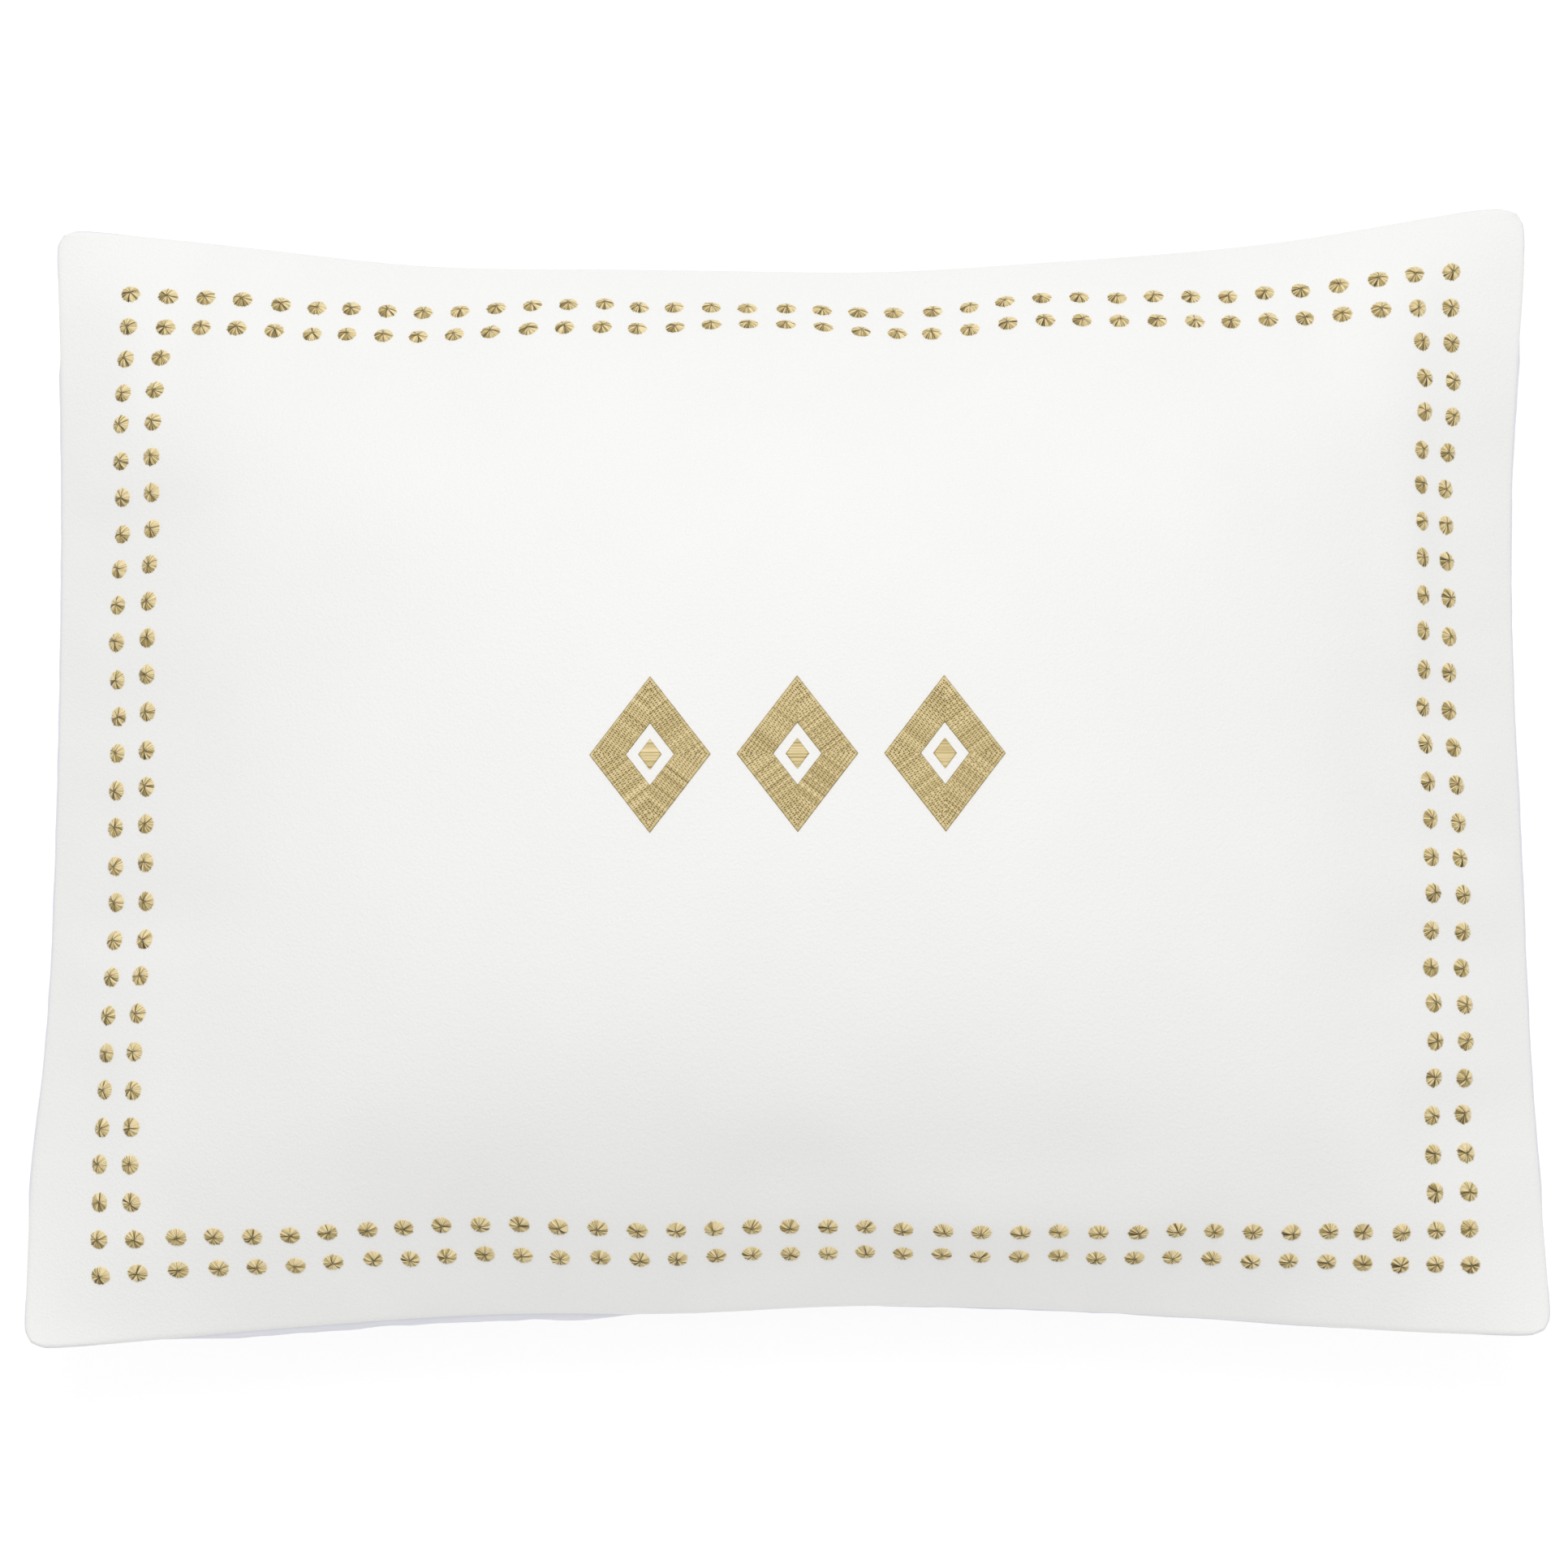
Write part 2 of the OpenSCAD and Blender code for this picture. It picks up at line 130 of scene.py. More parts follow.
def rise(u, v):
    """0 along the seam and 1 in the middle."""
    x, y = plan(u, v)
    edge_x, _ = plan(np.ones_like(u), v)
    _, edge_y = plan(u, np.ones_like(v))
    return (1 - np.abs(x / edge_x) ** EDGE_POWER[0]) * (1 - np.abs(y / edge_y) ** EDGE_POWER[1])


def seam_height(u, v):
    return SEAM_Z + CORNER_RISE * np.abs(u * v) ** 3


def corner_turn(u, v):
    """How far a point near a corner moves in, seen from above: the corners are a little round."""
    reach_u, reach_v = CORNER_R / (FLAT_L / 2), CORNER_R / (FLAT_W / 2)
    s = np.clip((np.abs(u) - 1) / reach_u + 1, 0, 1)
    t = np.clip((np.abs(v) - 1) / reach_v + 1, 0, 1)
    inward_u = reach_u * s * (1 - np.sqrt(1 - t * t / 2))
    inward_v = reach_v * t * (1 - np.sqrt(1 - s * s / 2))
    turned = plan(u - np.sign(u) * inward_u, v - np.sign(v) * inward_v)
    return np.stack(turned, -1) - np.stack(plan(u, v), -1)


def placed(u, v, z):
    x, y = plan(u, v)
    return np.stack([x, y, z], -1) + uneven_shift(u, v)


def front_shape(u, v):
    return placed(u, v, seam_height(u, v) + CROWN * rise(u, v) + LEATHER_T)


def on_floor(z):
    """The floor stops the belly, with a soft bend where it lifts off."""
    return np.maximum(z, 0) + np.maximum(FLOOR_BLEND - np.abs(z), 0) ** 2 / FLOOR_BLEND / 4


def window(d, inner, outer):
    """1 inside a band, 0 beyond it, with a smooth fall between."""
    t = np.clip((np.abs(d) - inner) / (outer - inner), 0, 1)
    return 1 - t * t * (3 - 2 * t)


def zip_hold(x, y):
    """1 where the stiff zip keeps the back flat."""
    along = window(x, ZIP_L / 2 + 25 * MM, ZIP_L / 2 + 60 * MM)
    return along * window(y + ZIP_Y, 11 * MM, 22 * MM)


def back_shape(u, v):
    x, y = plan(u, v)
    plane = ZIP_Z - (y + ZIP_Y) * math.tan(ZIP_SLOPE) - 0.7 * MM / math.cos(ZIP_SLOPE)
    free = on_floor(seam_height(u, v) - SATIN_T - BELLY * rise(u, v))
    hold = zip_hold(x, y)
    z = hold * plane + (1 - hold) * free
    points = placed(u, v, z)
    points[..., 0] += hold * (x - points[..., 0])
    points[..., 1] += hold * (y - points[..., 1])
    return points


# ------------ sheets as grids of points
class Sheet:
    """A grid of points over the flat panel, read smoothly at any flat place."""

    def __init__(self, points):
        self.points = points
        self.rows, self.cols = points.shape[0] - 1, points.shape[1] - 1
        padded = np.concatenate([2 * points[:1] - points[1:2], points, 2 * points[-1:] - points[-2:-1]])
        self.padded = np.concatenate(
            [2 * padded[:, :1] - padded[:, 1:2], padded, 2 * padded[:, -1:] - padded[:, -2:-1]], 1
        )

    @staticmethod
    def weights(t):
        """Catmull-Rom weights of four neighbours, for t from 0 to 1 between the middle two."""
        return np.stack(
            [
                (-t + 2 * t**2 - t**3) / 2,
                (2 - 5 * t**2 + 3 * t**3) / 2,
                (t + 4 * t**2 - 3 * t**3) / 2,
                (-(t**2) + t**3) / 2,
            ],
            -1,
        )

    def at(self, x, y):
        """The 3-D place of a flat place in metres from the panel's middle."""
        gx = np.clip((x / FLAT_L + 0.5) * self.cols, 0, self.cols - 1e-6)
        gy = np.clip((y / FLAT_W + 0.5) * self.rows, 0, self.rows - 1e-6)
        i, j = gx.astype(int), gy.astype(int)
        wx, wy = self.weights(gx - i), self.weights(gy - j)
        place = np.zeros(np.shape(x) + (3,))
        for a in range(4):
            for b in range(4):
                place += (wy[..., a] * wx[..., b])[..., None] * self.padded[j + a, i + b]
        return place

    def normal(self, x, y, step=0.8 * MM):
        along = self.at(x + step, y) - self.at(x - step, y)
        over = self.at(x, y + step) - self.at(x, y - step)
        n = np.cross(along, over)
        return n / np.linalg.norm(n, axis=-1, keepdims=True)

    def lay(self, x, y, h):
        """A flat place, lifted off the sheet by h along its normal."""
        return self.at(x, y) + self.normal(x, y) * np.asarray(h)[..., None]


def flat_grid(cols, rows):
    return np.meshgrid(np.linspace(-1, 1, cols + 1), np.linspace(-1, 1, rows + 1))


def quads_of(index):
    """Quads of a grid of point numbers, counter-clockwise seen from +z."""
    return np.stack([index[:-1, :-1], index[:-1, 1:], index[1:, 1:], index[1:, :-1]], -1).reshape(-1, 4)


def pillow_faces(rows, cols):
    """Quads of two grids of points, one under the other, that share their outermost points."""
    over = np.arange(rows * cols).reshape(rows, cols)
    under = over + rows * cols
    for side in (np.s_[0, :], np.s_[-1, :], np.s_[:, 0], np.s_[:, -1]):
        under[side] = over[side]
    return np.concatenate([quads_of(over), quads_of(under)[:, ::-1]])


def closed_faces(rows, cols):
    """Faces of a closed sheet: a grid, its copy underneath, and the rim between them."""
    n = rows * cols
    over = np.arange(n).reshape(rows, cols)
    ring = np.concatenate([over[0], over[1:, -1], over[-1, -2::-1], over[-2:0:-1, 0]])
    following = np.roll(ring, -1)
    rim = np.stack([ring, ring + n, following + n, following], -1)
    return np.concatenate([quads_of(over), quads_of(over + n)[:, ::-1], rim])


def joined(parts):
    """Several parts as one: their points, their faces, and any further columns of the points."""
    verts, faces, start = [], [], 0
    for part in parts:
        verts.append(part[0])
        faces += [tuple(int(i) + start for i in face) for face in part[1]]
        start += len(part[0])
    further = [np.concatenate(column) for column in zip(*(part[2:] for part in parts))]
    return np.concatenate(verts), faces, *further


def mesh_object(name, verts, faces, uvs=None):
    mesh = bpy.data.meshes.new(name)
    mesh.from_pydata(np.asarray(verts).reshape(-1, 3).tolist(), [], [tuple(map(int, f)) for f in faces])
    mesh.polygons.foreach_set("use_smooth", [True] * len(mesh.polygons))
    if uvs is not None:
        layer = mesh.uv_layers.new(name="flat")
        index = np.zeros(len(mesh.loops), int)
        mesh.loops.foreach_get("vertex_index", index)
        layer.data.foreach_set("uv", np.asarray(uvs).reshape(-1, 2)[index].ravel())
    mesh.validate()
    mesh.update()
    made = bpy.data.objects.new(name, mesh)
    bpy.context.scene.collection.objects.link(made)
    return made


def finish_piece(made, material, slot, *nodes):
    """Material and replaced CAD nodes of a new piece of the pillow. The slot argument is not used."""
    made.data.materials.clear()
    made.data.materials.append(material)
    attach(made, "pillow")
    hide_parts(*nodes)


# ------------ materials
def fill(socket, value):
    """Gives a socket a plain value, or a link from another socket."""
    if isinstance(value, bpy.types.NodeSocket):
        socket.id_data.links.new(value, socket)
    else:
        socket.default_value = value


def new_material(name):
    """A material, a helper that adds and links a node, and one that fills a socket of the shader."""
    made = bpy.data.materials.new(name)
    made.use_nodes = True
    tree = made.node_tree
    shader = tree.nodes["Principled BSDF"]

    def node(kind, settings=None, **inputs):
        n = tree.nodes.new(kind)
        for key, value in (settings or {}).items():
            setattr(n, key, value)
        for key, value in inputs.items():
            fill(n.inputs[int(key[1:])] if key[0] == "i" and key[1:].isdigit() else n.inputs[key], value)
        return n

    def wear(name, value):
        fill(shader.inputs[name], value)

    return made, node, wear


def math_node(node, operation, a, b=0.0, c=0.0):
    return node("ShaderNodeMath", {"operation": operation}, i0=a, i1=b, i2=c).outputs[0]


def mix_colour(node, share, low, high, blend="MIX"):
    n = node("ShaderNodeMix", {"data_type": "RGBA", "blend_type": blend})
    for socket, value in ((0, share), (6, low), (7, high)):
        fill(n.inputs[socket], value)
    return n.outputs[2]


def spread(node, value, low, high, start=0.0):
    """A value from start to 1, turned into one from low to high."""
    return node("ShaderNodeMapRange", Value=value, i1=start, i3=low, i4=high).outputs[0]


def rgba(r, g, b):
    return (r, g, b, 1.0)


def flat_place(node):
    """Position on the flat sheet, in metres."""
    return node("ShaderNodeUVMap", {"uv_map": "flat"}).outputs[0]


def object_place(node):
    return node("ShaderNodeTexCoord").outputs["Object"]


def noise(node, place, scale, detail=2.0, rough=0.5):
    return node("ShaderNodeTexNoise", Vector=place, Scale=scale, Detail=detail, Roughness=rough).outputs[0]


def bump(node, height, distance, strength=1.0, below=None):
    n = node("ShaderNodeBump", Height=height, Distance=distance, Strength=strength)
    if below is not None:
        fill(n.inputs["Normal"], below)
    return n.outputs[0]


def split_place(node, place):
    return node("ShaderNodeSeparateXYZ", Vector=place).outputs


def weave(node, place, x_rate, y_rate):
    """Crossing threads: the product of two waves, with their rates in radians a metre."""
    x, y = split_place(node, place)[:2]
    warp = math_node(node, "SINE", math_node(node, "MULTIPLY", x, x_rate))
    weft = math_node(node, "SINE", math_node(node, "MULTIPLY", y, y_rate))
    return math_node(node, "MULTIPLY", warp, weft)


def leather_material():
    made, node, wear = new_material("white_leather")
    place = flat_place(node)
    cells = node("ShaderNodeTexVoronoi", {"feature": "SMOOTH_F1"}, Vector=place, Scale=900.0).outputs[0]
    creases = noise(node, place, 260.0, 3.0, 0.6)
    broad = noise(node, place, 14.0, 3.0, 0.55)
    patches = noise(node, place, 70.0, 2.0)
    tone = mix_colour(node, broad, rgba(0.89, 0.888, 0.876), rgba(0.93, 0.928, 0.918))
    fine = mix_colour(node, noise(node, place, 1300.0, 2.0), rgba(0.91, 0.912, 0.915), rgba(1, 1, 1))
    wear("Base Color", mix_colour(node, 1.0, tone, fine, "MULTIPLY"))
    wear("Roughness", spread(node, patches, 0.5, 0.62))
    wear("Specular IOR Level", 0.35)
    grain = bump(node, cells, 0.0002, 0.8)
    grain = bump(node, creases, 0.0003, 0.35, grain)
    wear("Normal", grain)
    return made


def satin_material():
    made, node, wear = new_material("cool_satin")
    place = flat_place(node)
    threads = weave(node, place, 12000.0, 9000.0)
    streaks = node("ShaderNodeMapping", Vector=place, Scale=(40.0, 900.0, 1.0)).outputs[0]
    slub = noise(node, streaks, 1.0, 2.0)
    tone = mix_colour(node, slub, rgba(0.74, 0.745, 0.82), rgba(0.84, 0.845, 0.9))
    wear("Base Color", tone)
    wear("Roughness", spread(node, slub, 0.3, 0.42))
    wear("Sheen Weight", 0.25)
    wear("Sheen Roughness", 0.4)
    wear("Anisotropic", 0.5)
    wear("Normal", bump(node, slub, 0.0002, 0.5, bump(node, threads, 0.00004, 0.5)))
    return made


def gold_material():
    """Shiny gold rayon. The mesh carries each thread's tone, with painted shade and painted sheen in it; uv
    runs along the threads.
    """
    made, node, wear = new_material("gold_thread")
    tone = node("ShaderNodeAttribute", {"attribute_name": "tone"}).outputs["Fac"]
    contrast = math_node(node, "MULTIPLY_ADD", tone, 1.35, -0.22)
    ramp = node("ShaderNodeValToRGB", Fac=contrast)
    stops = ramp.color_ramp.elements
    stops[0].position, stops[0].color = 0.0, rgba(0.055, 0.035, 0.009)
    stops[1].position, stops[1].color = 1.0, rgba(0.98, 0.83, 0.5)
    for position, colour in ((0.3, rgba(0.23, 0.155, 0.04)), (0.65, rgba(0.6, 0.455, 0.155))):
        stop = stops.new(position)
        stop.color = colour
    x, y = split_place(node, flat_place(node))[:2]
    across = math_node(node, "MULTIPLY", x, 2 * math.pi)
    strands = math_node(node, "SINE", math_node(node, "MULTIPLY_ADD", y, 9000.0, across))
    wear("Base Color", ramp.outputs[0])
    wear("Roughness", spread(node, strands, 0.34, 0.46, -1.0))
    wear("Specular IOR Level", 0.6)
    wear("Sheen Weight", 0.2)
    wear("Sheen Roughness", 0.35)
    wear("Normal", bump(node, strands, 0.00006, 0.6))
    return made


def cloth_material(name, low, high, pitch, rough=0.8, weave_depth=0.00012):
    """A plain weave, with threads pitch metres apart, in two close tones."""
    made, node, wear = new_material(name)
    place = flat_place(node)
    threads = weave(node, place, math.pi / pitch, math.pi / pitch)
    spots = noise(node, place, 60.0, 3.0)
    fine = noise(node, place, 1800.0, 1.0)
    share = math_node(node, "MULTIPLY_ADD", threads, 0.25, math_node(node, "MULTIPLY_ADD", fine, 0.5, spots))
    wear("Base Color", mix_colour(node, math_node(node, "MULTIPLY", share, 0.65), low, high))
    wear("Roughness", spread(node, spots, rough - 0.06, rough + 0.06))
    wear("Sheen Weight", 0.15)
    wear("Normal", bump(node, threads, weave_depth, 0.6, bump(node, fine, 0.0001, 0.4)))
    return made


def thread_material(name, low, high):
    """Plied thread."""
    made, node, wear = new_material(name)
    place = object_place(node)
    fibres = noise(node, place, 3000.0, 2.0)
    plies = node(
        "ShaderNodeTexWave", {"bands_direction": "DIAGONAL"}, Vector=place, Scale=700.0, Distortion=1.5
    ).outputs[1]
    wear("Base Color", mix_colour(node, fibres, low, high))
    wear("Roughness", spread(node, fibres, 0.45, 0.65))
    wear("Sheen Weight", 0.2)
    wear("Normal", bump(node, plies, 0.00008, 0.7, bump(node, fibres, 0.00005, 0.5)))
    return made


def felt_material(name, low, high):
    """Loose fibres without a weave: stabiliser and filling."""
    made, node, wear = new_material(name)
    place = object_place(node)
    fibres = noise(node, place, 900.0, 4.0, 0.65)
    clumps = noise(node, place, 45.0, 3.0)
    share = math_node(node, "MULTIPLY_ADD", fibres, 0.6, math_node(node, "MULTIPLY", clumps, 0.4))
    wear("Base Color", mix_colour(node, share, low, high))
    wear("Roughness", spread(node, clumps, 0.85, 0.98))
    wear("Sheen Weight", 0.3)
    wear("Normal", bump(node, fibres, 0.0003, 0.6, bump(node, clumps, 0.002, 0.4)))
    return made


def nylon_material():
    made, node, wear = new_material("coil_nylon")
    place = object_place(node)
    haze = noise(node, place, 400.0, 2.0)
    wear("Base Color", mix_colour(node, haze, rgba(0.8, 0.8, 0.83), rgba(0.9, 0.9, 0.92)))
    wear("Roughness", spread(node, haze, 0.22, 0.34))
    wear("Specular IOR Level", 0.5)
    wear("Normal", bump(node, noise(node, place, 2500.0, 1.0), 0.00003, 0.4))
    return made


def metal_material():
    """Plated zinc: bright, with faint scratches and duller pores."""
    made, node, wear = new_material("zip_plate")
    place = object_place(node)
    pores = noise(node, place, 1200.0, 3.0)
    brushed = node("ShaderNodeMapping", Vector=place, Scale=(300.0, 4500.0, 4500.0)).outputs[0]
    scratches = noise(node, brushed, 1.0, 2.0, 0.7)
    wear("Base Color", mix_colour(node, pores, rgba(0.5, 0.5, 0.52), rgba(0.68, 0.68, 0.69)))
    wear("Roughness", spread(node, scratches, 0.16, 0.4))
    wear("Metallic", 1.0)
    wear("Normal", bump(node, scratches, 0.00002, 0.5, bump(node, pores, 0.00003, 0.3)))
    return made


LEATHER = leather_material()
SATIN = satin_material()
GOLD = gold_material()
TICKING = cloth_material("insert_ticking", rgba(0.78, 0.78, 0.76), rgba(0.92, 0.92, 0.9), 0.0005)
TAPE = cloth_material("tape_weave", rgba(0.7, 0.7, 0.74), rgba(0.88, 0.88, 0.91), 0.0007, 0.7, 0.0002)
WHITE_THREAD = thread_material("white_thread", rgba(0.72, 0.71, 0.69), rgba(0.9, 0.89, 0.87))
FELT = felt_material("stabiliser_felt", rgba(0.78, 0.78, 0.78), rgba(0.93, 0.93, 0.93))
FIBRE = felt_material("fibre_fill", rgba(0.85, 0.85, 0.85), rgba(0.97, 0.97, 0.97))
NYLON = nylon_material()
METAL = metal_material()


# ------------ the filled cover's two sheets
rng = np.random.default_rng(11)


def wavy(t, shortest, longest, count=9):
    """A smooth random curve of t in metres, about -1 to 1, with waves of these lengths."""
    total = np.zeros_like(t)
    for length in np.geomspace(shortest, longest, count):
        total += np.sin(2 * math.pi * (t / length + rng.random())) * rng.uniform(0.5, 1)
    return total / math.sqrt(count)


def edge_distances(x, y):
    """Flat distances from the left, right, bottom and top seams, in metres."""
    return x + FLAT_L / 2, FLAT_L / 2 - x, y + FLAT_W / 2, FLAT_W / 2 - y


def puckers(x, y, height, reach, shortest, longest):
    """Ripples square to the seams, largest a little inside them and gone at the seam itself."""
    total = np.zeros_like(x)
    left, right, bottom, top = edge_distances(x, y)
    for d, along in ((left, y), (right, y), (bottom, x), (top, x)):
        total += wavy(along, shortest, longest) * (d / reach) * np.exp(1 - d / reach)
    return total * height


def grid_normals(points):
    across = np.gradient(points, axis=1)
    up = np.gradient(points, axis=0)
    n = np.cross(across, up)
    return n / np.maximum(np.linalg.norm(n, axis=-1, keepdims=True), 1e-12)


def settle(front, back, frames=16, cap=4 * MM):
    """Cloth simulation of the filled cover. Returns how far each point of the two grids moves.

    The cloth starts in the cover's shape, a little too large for it, and the filling's pressure
    pushes it into soft waves. Its seam, the stiff zip and the patch on the floor are held.
    """
    rows, cols = front.shape[:2]
    n = rows * cols
    seam = np.ones((rows, cols))
    seam[1:-1, 1:-1] = 0
    verts = np.concatenate([front.reshape(-1, 3), back.reshape(-1, 3)])
    on_the_floor = 1.0 * (verts[n:, 2] < 2 * MM)
    hold = np.concatenate([seam.ravel(), np.maximum(zip_hold(verts[n:, 0], verts[n:, 1]), on_the_floor)])
    cloth = mesh_object("settling", verts, pillow_faces(rows, cols))
    group = cloth.vertex_groups.new(name="hold")
    for i in np.nonzero(hold > 0.01)[0]:
        group.add([int(i)], float(hold[i]), "REPLACE")
    modifier = cloth.modifiers.new("settle", "CLOTH")
    settings = modifier.settings
    settings.quality, settings.mass = 6, 0.004
    settings.vertex_group_mass, settings.pin_stiffness = "hold", 10
    settings.tension_stiffness = settings.compression_stiffness = 25
    settings.shear_stiffness, settings.bending_stiffness = 8, 30
    settings.tension_damping = settings.compression_damping = settings.shear_damping = 10
    settings.shrink_min = settings.shrink_max = -0.005
    settings.use_pressure, settings.uniform_pressure_force = True, 1.2
    settings.air_damping = 4
    settings.effector_weights.gravity = 0
    modifier.collision_settings.use_collision = False
    modifier.point_cache.frame_end = frames
    scene = bpy.context.scene
    scene.frame_start, scene.frame_end = 1, frames
    for frame_number in range(1, frames + 1):
        scene.frame_set(frame_number)
    settled = cloth.evaluated_get(bpy.context.evaluated_depsgraph_get()).to_mesh()
    places = np.zeros(len(settled.vertices) * 3)
    settled.vertices.foreach_get("co", places)
    scene.frame_set(1)
    bpy.data.objects.remove(cloth)
    moved = places.reshape(-1, 3) - verts
    moved *= (1 - hold)[:, None]
    size = np.maximum(np.linalg.norm(moved, axis=1, keepdims=True), 1e-9)
    moved *= np.minimum(1, cap / size)
    return smoothed(moved[:n].reshape(front.shape), 14), smoothed(moved[n:].reshape(back.shape), 4)


def smoothed(grid, times):
    """Evens a grid out, because leather and filling don't follow sharp wrinkles."""
    for _ in range(times):
        inner = grid[1:-1, 1:-1]
        sides = grid[:-2, 1:-1] + grid[2:, 1:-1] + grid[1:-1, :-2] + grid[1:-1, 2:]
        grid = grid.copy()
        grid[1:-1, 1:-1] = inner / 2 + sides / 8
    return grid


def make_sheets():
    """The outer faces of front and back, as grids of points 6 mm apart, with small waves."""
    u, v = flat_grid(110, 84)
    x, y = u * FLAT_L / 2, v * FLAT_W / 2
    front = front_shape(u, v)
    lift = puckers(x, y, 0.35 * MM, 22 * MM, 30 * MM, 120 * MM)
    lift += 0.5 * MM * wavy(x + 0.35 * y, 90 * MM, 260 * MM, 5) * wavy(y - 0.3 * x, 80 * MM, 240 * MM, 5)
    front += grid_normals(front) * (lift * np.minimum(1, rise(u, v) * 8))[..., None]
    back = back_shape(u, v)
    free = 1 - zip_hold(*plan(u, v))
    lift = puckers(x, y, 0.8 * MM, 12 * MM, 15 * MM, 60 * MM) * free
    back -= grid_normals(back) * lift[..., None]
    front_moved, back_moved = settle(front, back)
    front, back = front + front_moved, back + back_moved
    back[..., 2] = np.maximum(back[..., 2], 0)
    turn = corner_turn(u, v)
    front[..., :2] += turn
    back[..., :2] += turn
    return Sheet(front), Sheet(back)


FRONT, BACK = make_sheets()


def lines(length, step, fine=(0, 0.5, 1.1, 1.8, 2.8, 4.2)):
    """Flat places across a panel: close together at its two seams and even between them."""
    near = np.array(fine) * MM
    inner = length / 2 - near[-1]
    count = int(round(2 * inner / step))
    middle = np.linspace(-inner, inner, count + 1)
    return np.concatenate([near[:-1] - length / 2, middle, (length / 2 - near[:-1])[::-1]])


def shell(name, outer, inner, x, y, flip=False):
    """A closed sheet from its two faces' grids of points, with its flat places."""
    verts = np.concatenate([outer.reshape(-1, 3), inner.reshape(-1, 3)])
    faces = closed_faces(*outer.shape[:2])
    if flip:
        faces = faces[:, ::-1]
    flat = np.stack([x, y], -1).reshape(-1, 2)
    return mesh_object(name, verts, faces, np.concatenate([flat, flat]))


def roll(d, radius):
    """How far a turned edge drops at distance d from the seam: a quarter circle."""
    t = np.clip(1 - d / radius, 0, 1)
    return radius * (1 - np.sqrt(1 - t * t))


def build_front():
    x, y = np.meshgrid(lines(FLAT_L, SHEET_STEP), lines(FLAT_W, SHEET_STEP))
    d = np.minimum.reduce(edge_distances(x, y))
    outer = FRONT.at(x, y)
    outer[..., 2] -= roll(d, EDGE_ROLL)
    inner = FRONT.lay(x, y, -LEATHER_T * np.ones_like(x))
    inner[..., 2] = np.minimum(inner[..., 2], outer[..., 2] - 0.3 * MM)
    # the inner face keeps clear of the rolled edge
    inner[..., 2] -= roll(d, EDGE_ROLL) * 0.2
    made = shell("leather_front", outer, inner, x, y)
    finish_piece(made, LEATHER, "leather", "front_panel")


def bulge(x, y):
    """How far the thin satin stands out past the seam, along x and y, in metres."""
    left, right, bottom, top = edge_distances(x, y)

    def puff(d, size):
        out = size * (d / (7 * MM)) * np.exp(1 - d / (7 * MM))
        tucked = 2.2 * MM * np.exp(-((d / (1.3 * MM)) ** 2))
        return out - tucked

    side = window(y + 10 * MM, 190 * MM, 250 * MM)
    low_left = window(x + 190 * MM, 90 * MM, 130 * MM)
    low_right = window(x - 170 * MM, 100 * MM, 150 * MM)
    corner = np.abs(x * 2 / FLAT_L * y * 2 / FLAT_W)
    dx = puff(right, 5.2 * MM * side) - puff(left, 5.2 * MM * side)
    dy = puff(top, 2 * MM) - puff(bottom, (2.5 + 4 * low_left + 1.2 * low_right) * MM)
    keep = 1 - np.clip((corner - 0.72) / 0.2, 0, 1)
    return dx * keep, dy * keep


def back_points(x, y, h):
    """Outer face of the back, with the puff beside the seam, lifted outwards by h."""
    points = BACK.lay(x, y, -np.asarray(h) * np.ones_like(x))
    dx, dy = bulge(x, y)
    free = 1 - zip_hold(*plan(x * 2 / FLAT_L, y * 2 / FLAT_W))
    points[..., 0] += dx * free
    points[..., 1] += dy * free
    return points


def zip_fold_y(x):
    return 0.1 * MM + ZIP_FOLD * math.cos(ZIP_SLOPE) * window(x, ZIP_L / 2 + 4 * MM, ZIP_L / 2 + 15 * MM)


def flat_y_at(x, y_seen):
    """The flat place whose y, seen from above, is y_seen."""
    low, high = np.full_like(x, -FLAT_W / 2), np.zeros_like(x)
    for _ in range(30):
        middle = (low + high) / 2
        _, seen = plan(x * 2 / FLAT_L, middle * 2 / FLAT_W)
        low = np.where(seen < y_seen, middle, low)
        high = np.where(seen < y_seen, high, middle)
    return (low + high) / 2


def satin_piece(name, node, xs, y):
    x = np.broadcast_to(xs, y.shape).copy()
    made = shell(name, back_points(x, y, 0), back_points(x, y, -SATIN_T), x, y, flip=True)
    finish_piece(made, SATIN, "satin", node)


def build_back():
    xs = lines(FLAT_L, SHEET_STEP)
    upper = flat_y_at(xs, zip_fold_y(xs) - ZIP_Y)
    lower = flat_y_at(xs, -zip_fold_y(xs) - ZIP_Y)
    tops = lines(FLAT_W, SHEET_STEP)
    tops = tops[tops > -FLAT_W / 2 + 5 * MM]
    share = (tops - tops[0]) / (tops[-1] - tops[0])
    y = upper + (FLAT_W / 2 - upper) * share[:, None]
    satin_piece("satin_back", "back_panel", xs, y)
    steps = np.array([0, 0.5, 1.1, 1.8, 2.8, 4.2, 6, 8.2, 10.5, 13, 15.5, 18, 20.5, 23, 25.5, 28, 30.5])
    share = steps / steps[-1]
    y = -FLAT_W / 2 + (lower + FLAT_W / 2) * share[:, None]
    satin_piece("satin_strip", "back_strip", xs, y)


# ------------ embroidery
def gold_piece(name, node, parts):
    """Embroidery from parts of points, faces, uvs and the tone of each point's thread, painted shade and
    sheen included.
    """
    verts, faces, uvs, tones = joined(parts)
    made = mesh_object(name, verts, faces, uvs)
    layer = made.data.attributes.new("tone", "FLOAT", "POINT")
    layer.data.foreach_set("value", tones.astype(np.float32))
    finish_piece(made, GOLD, "gold_thread", node)


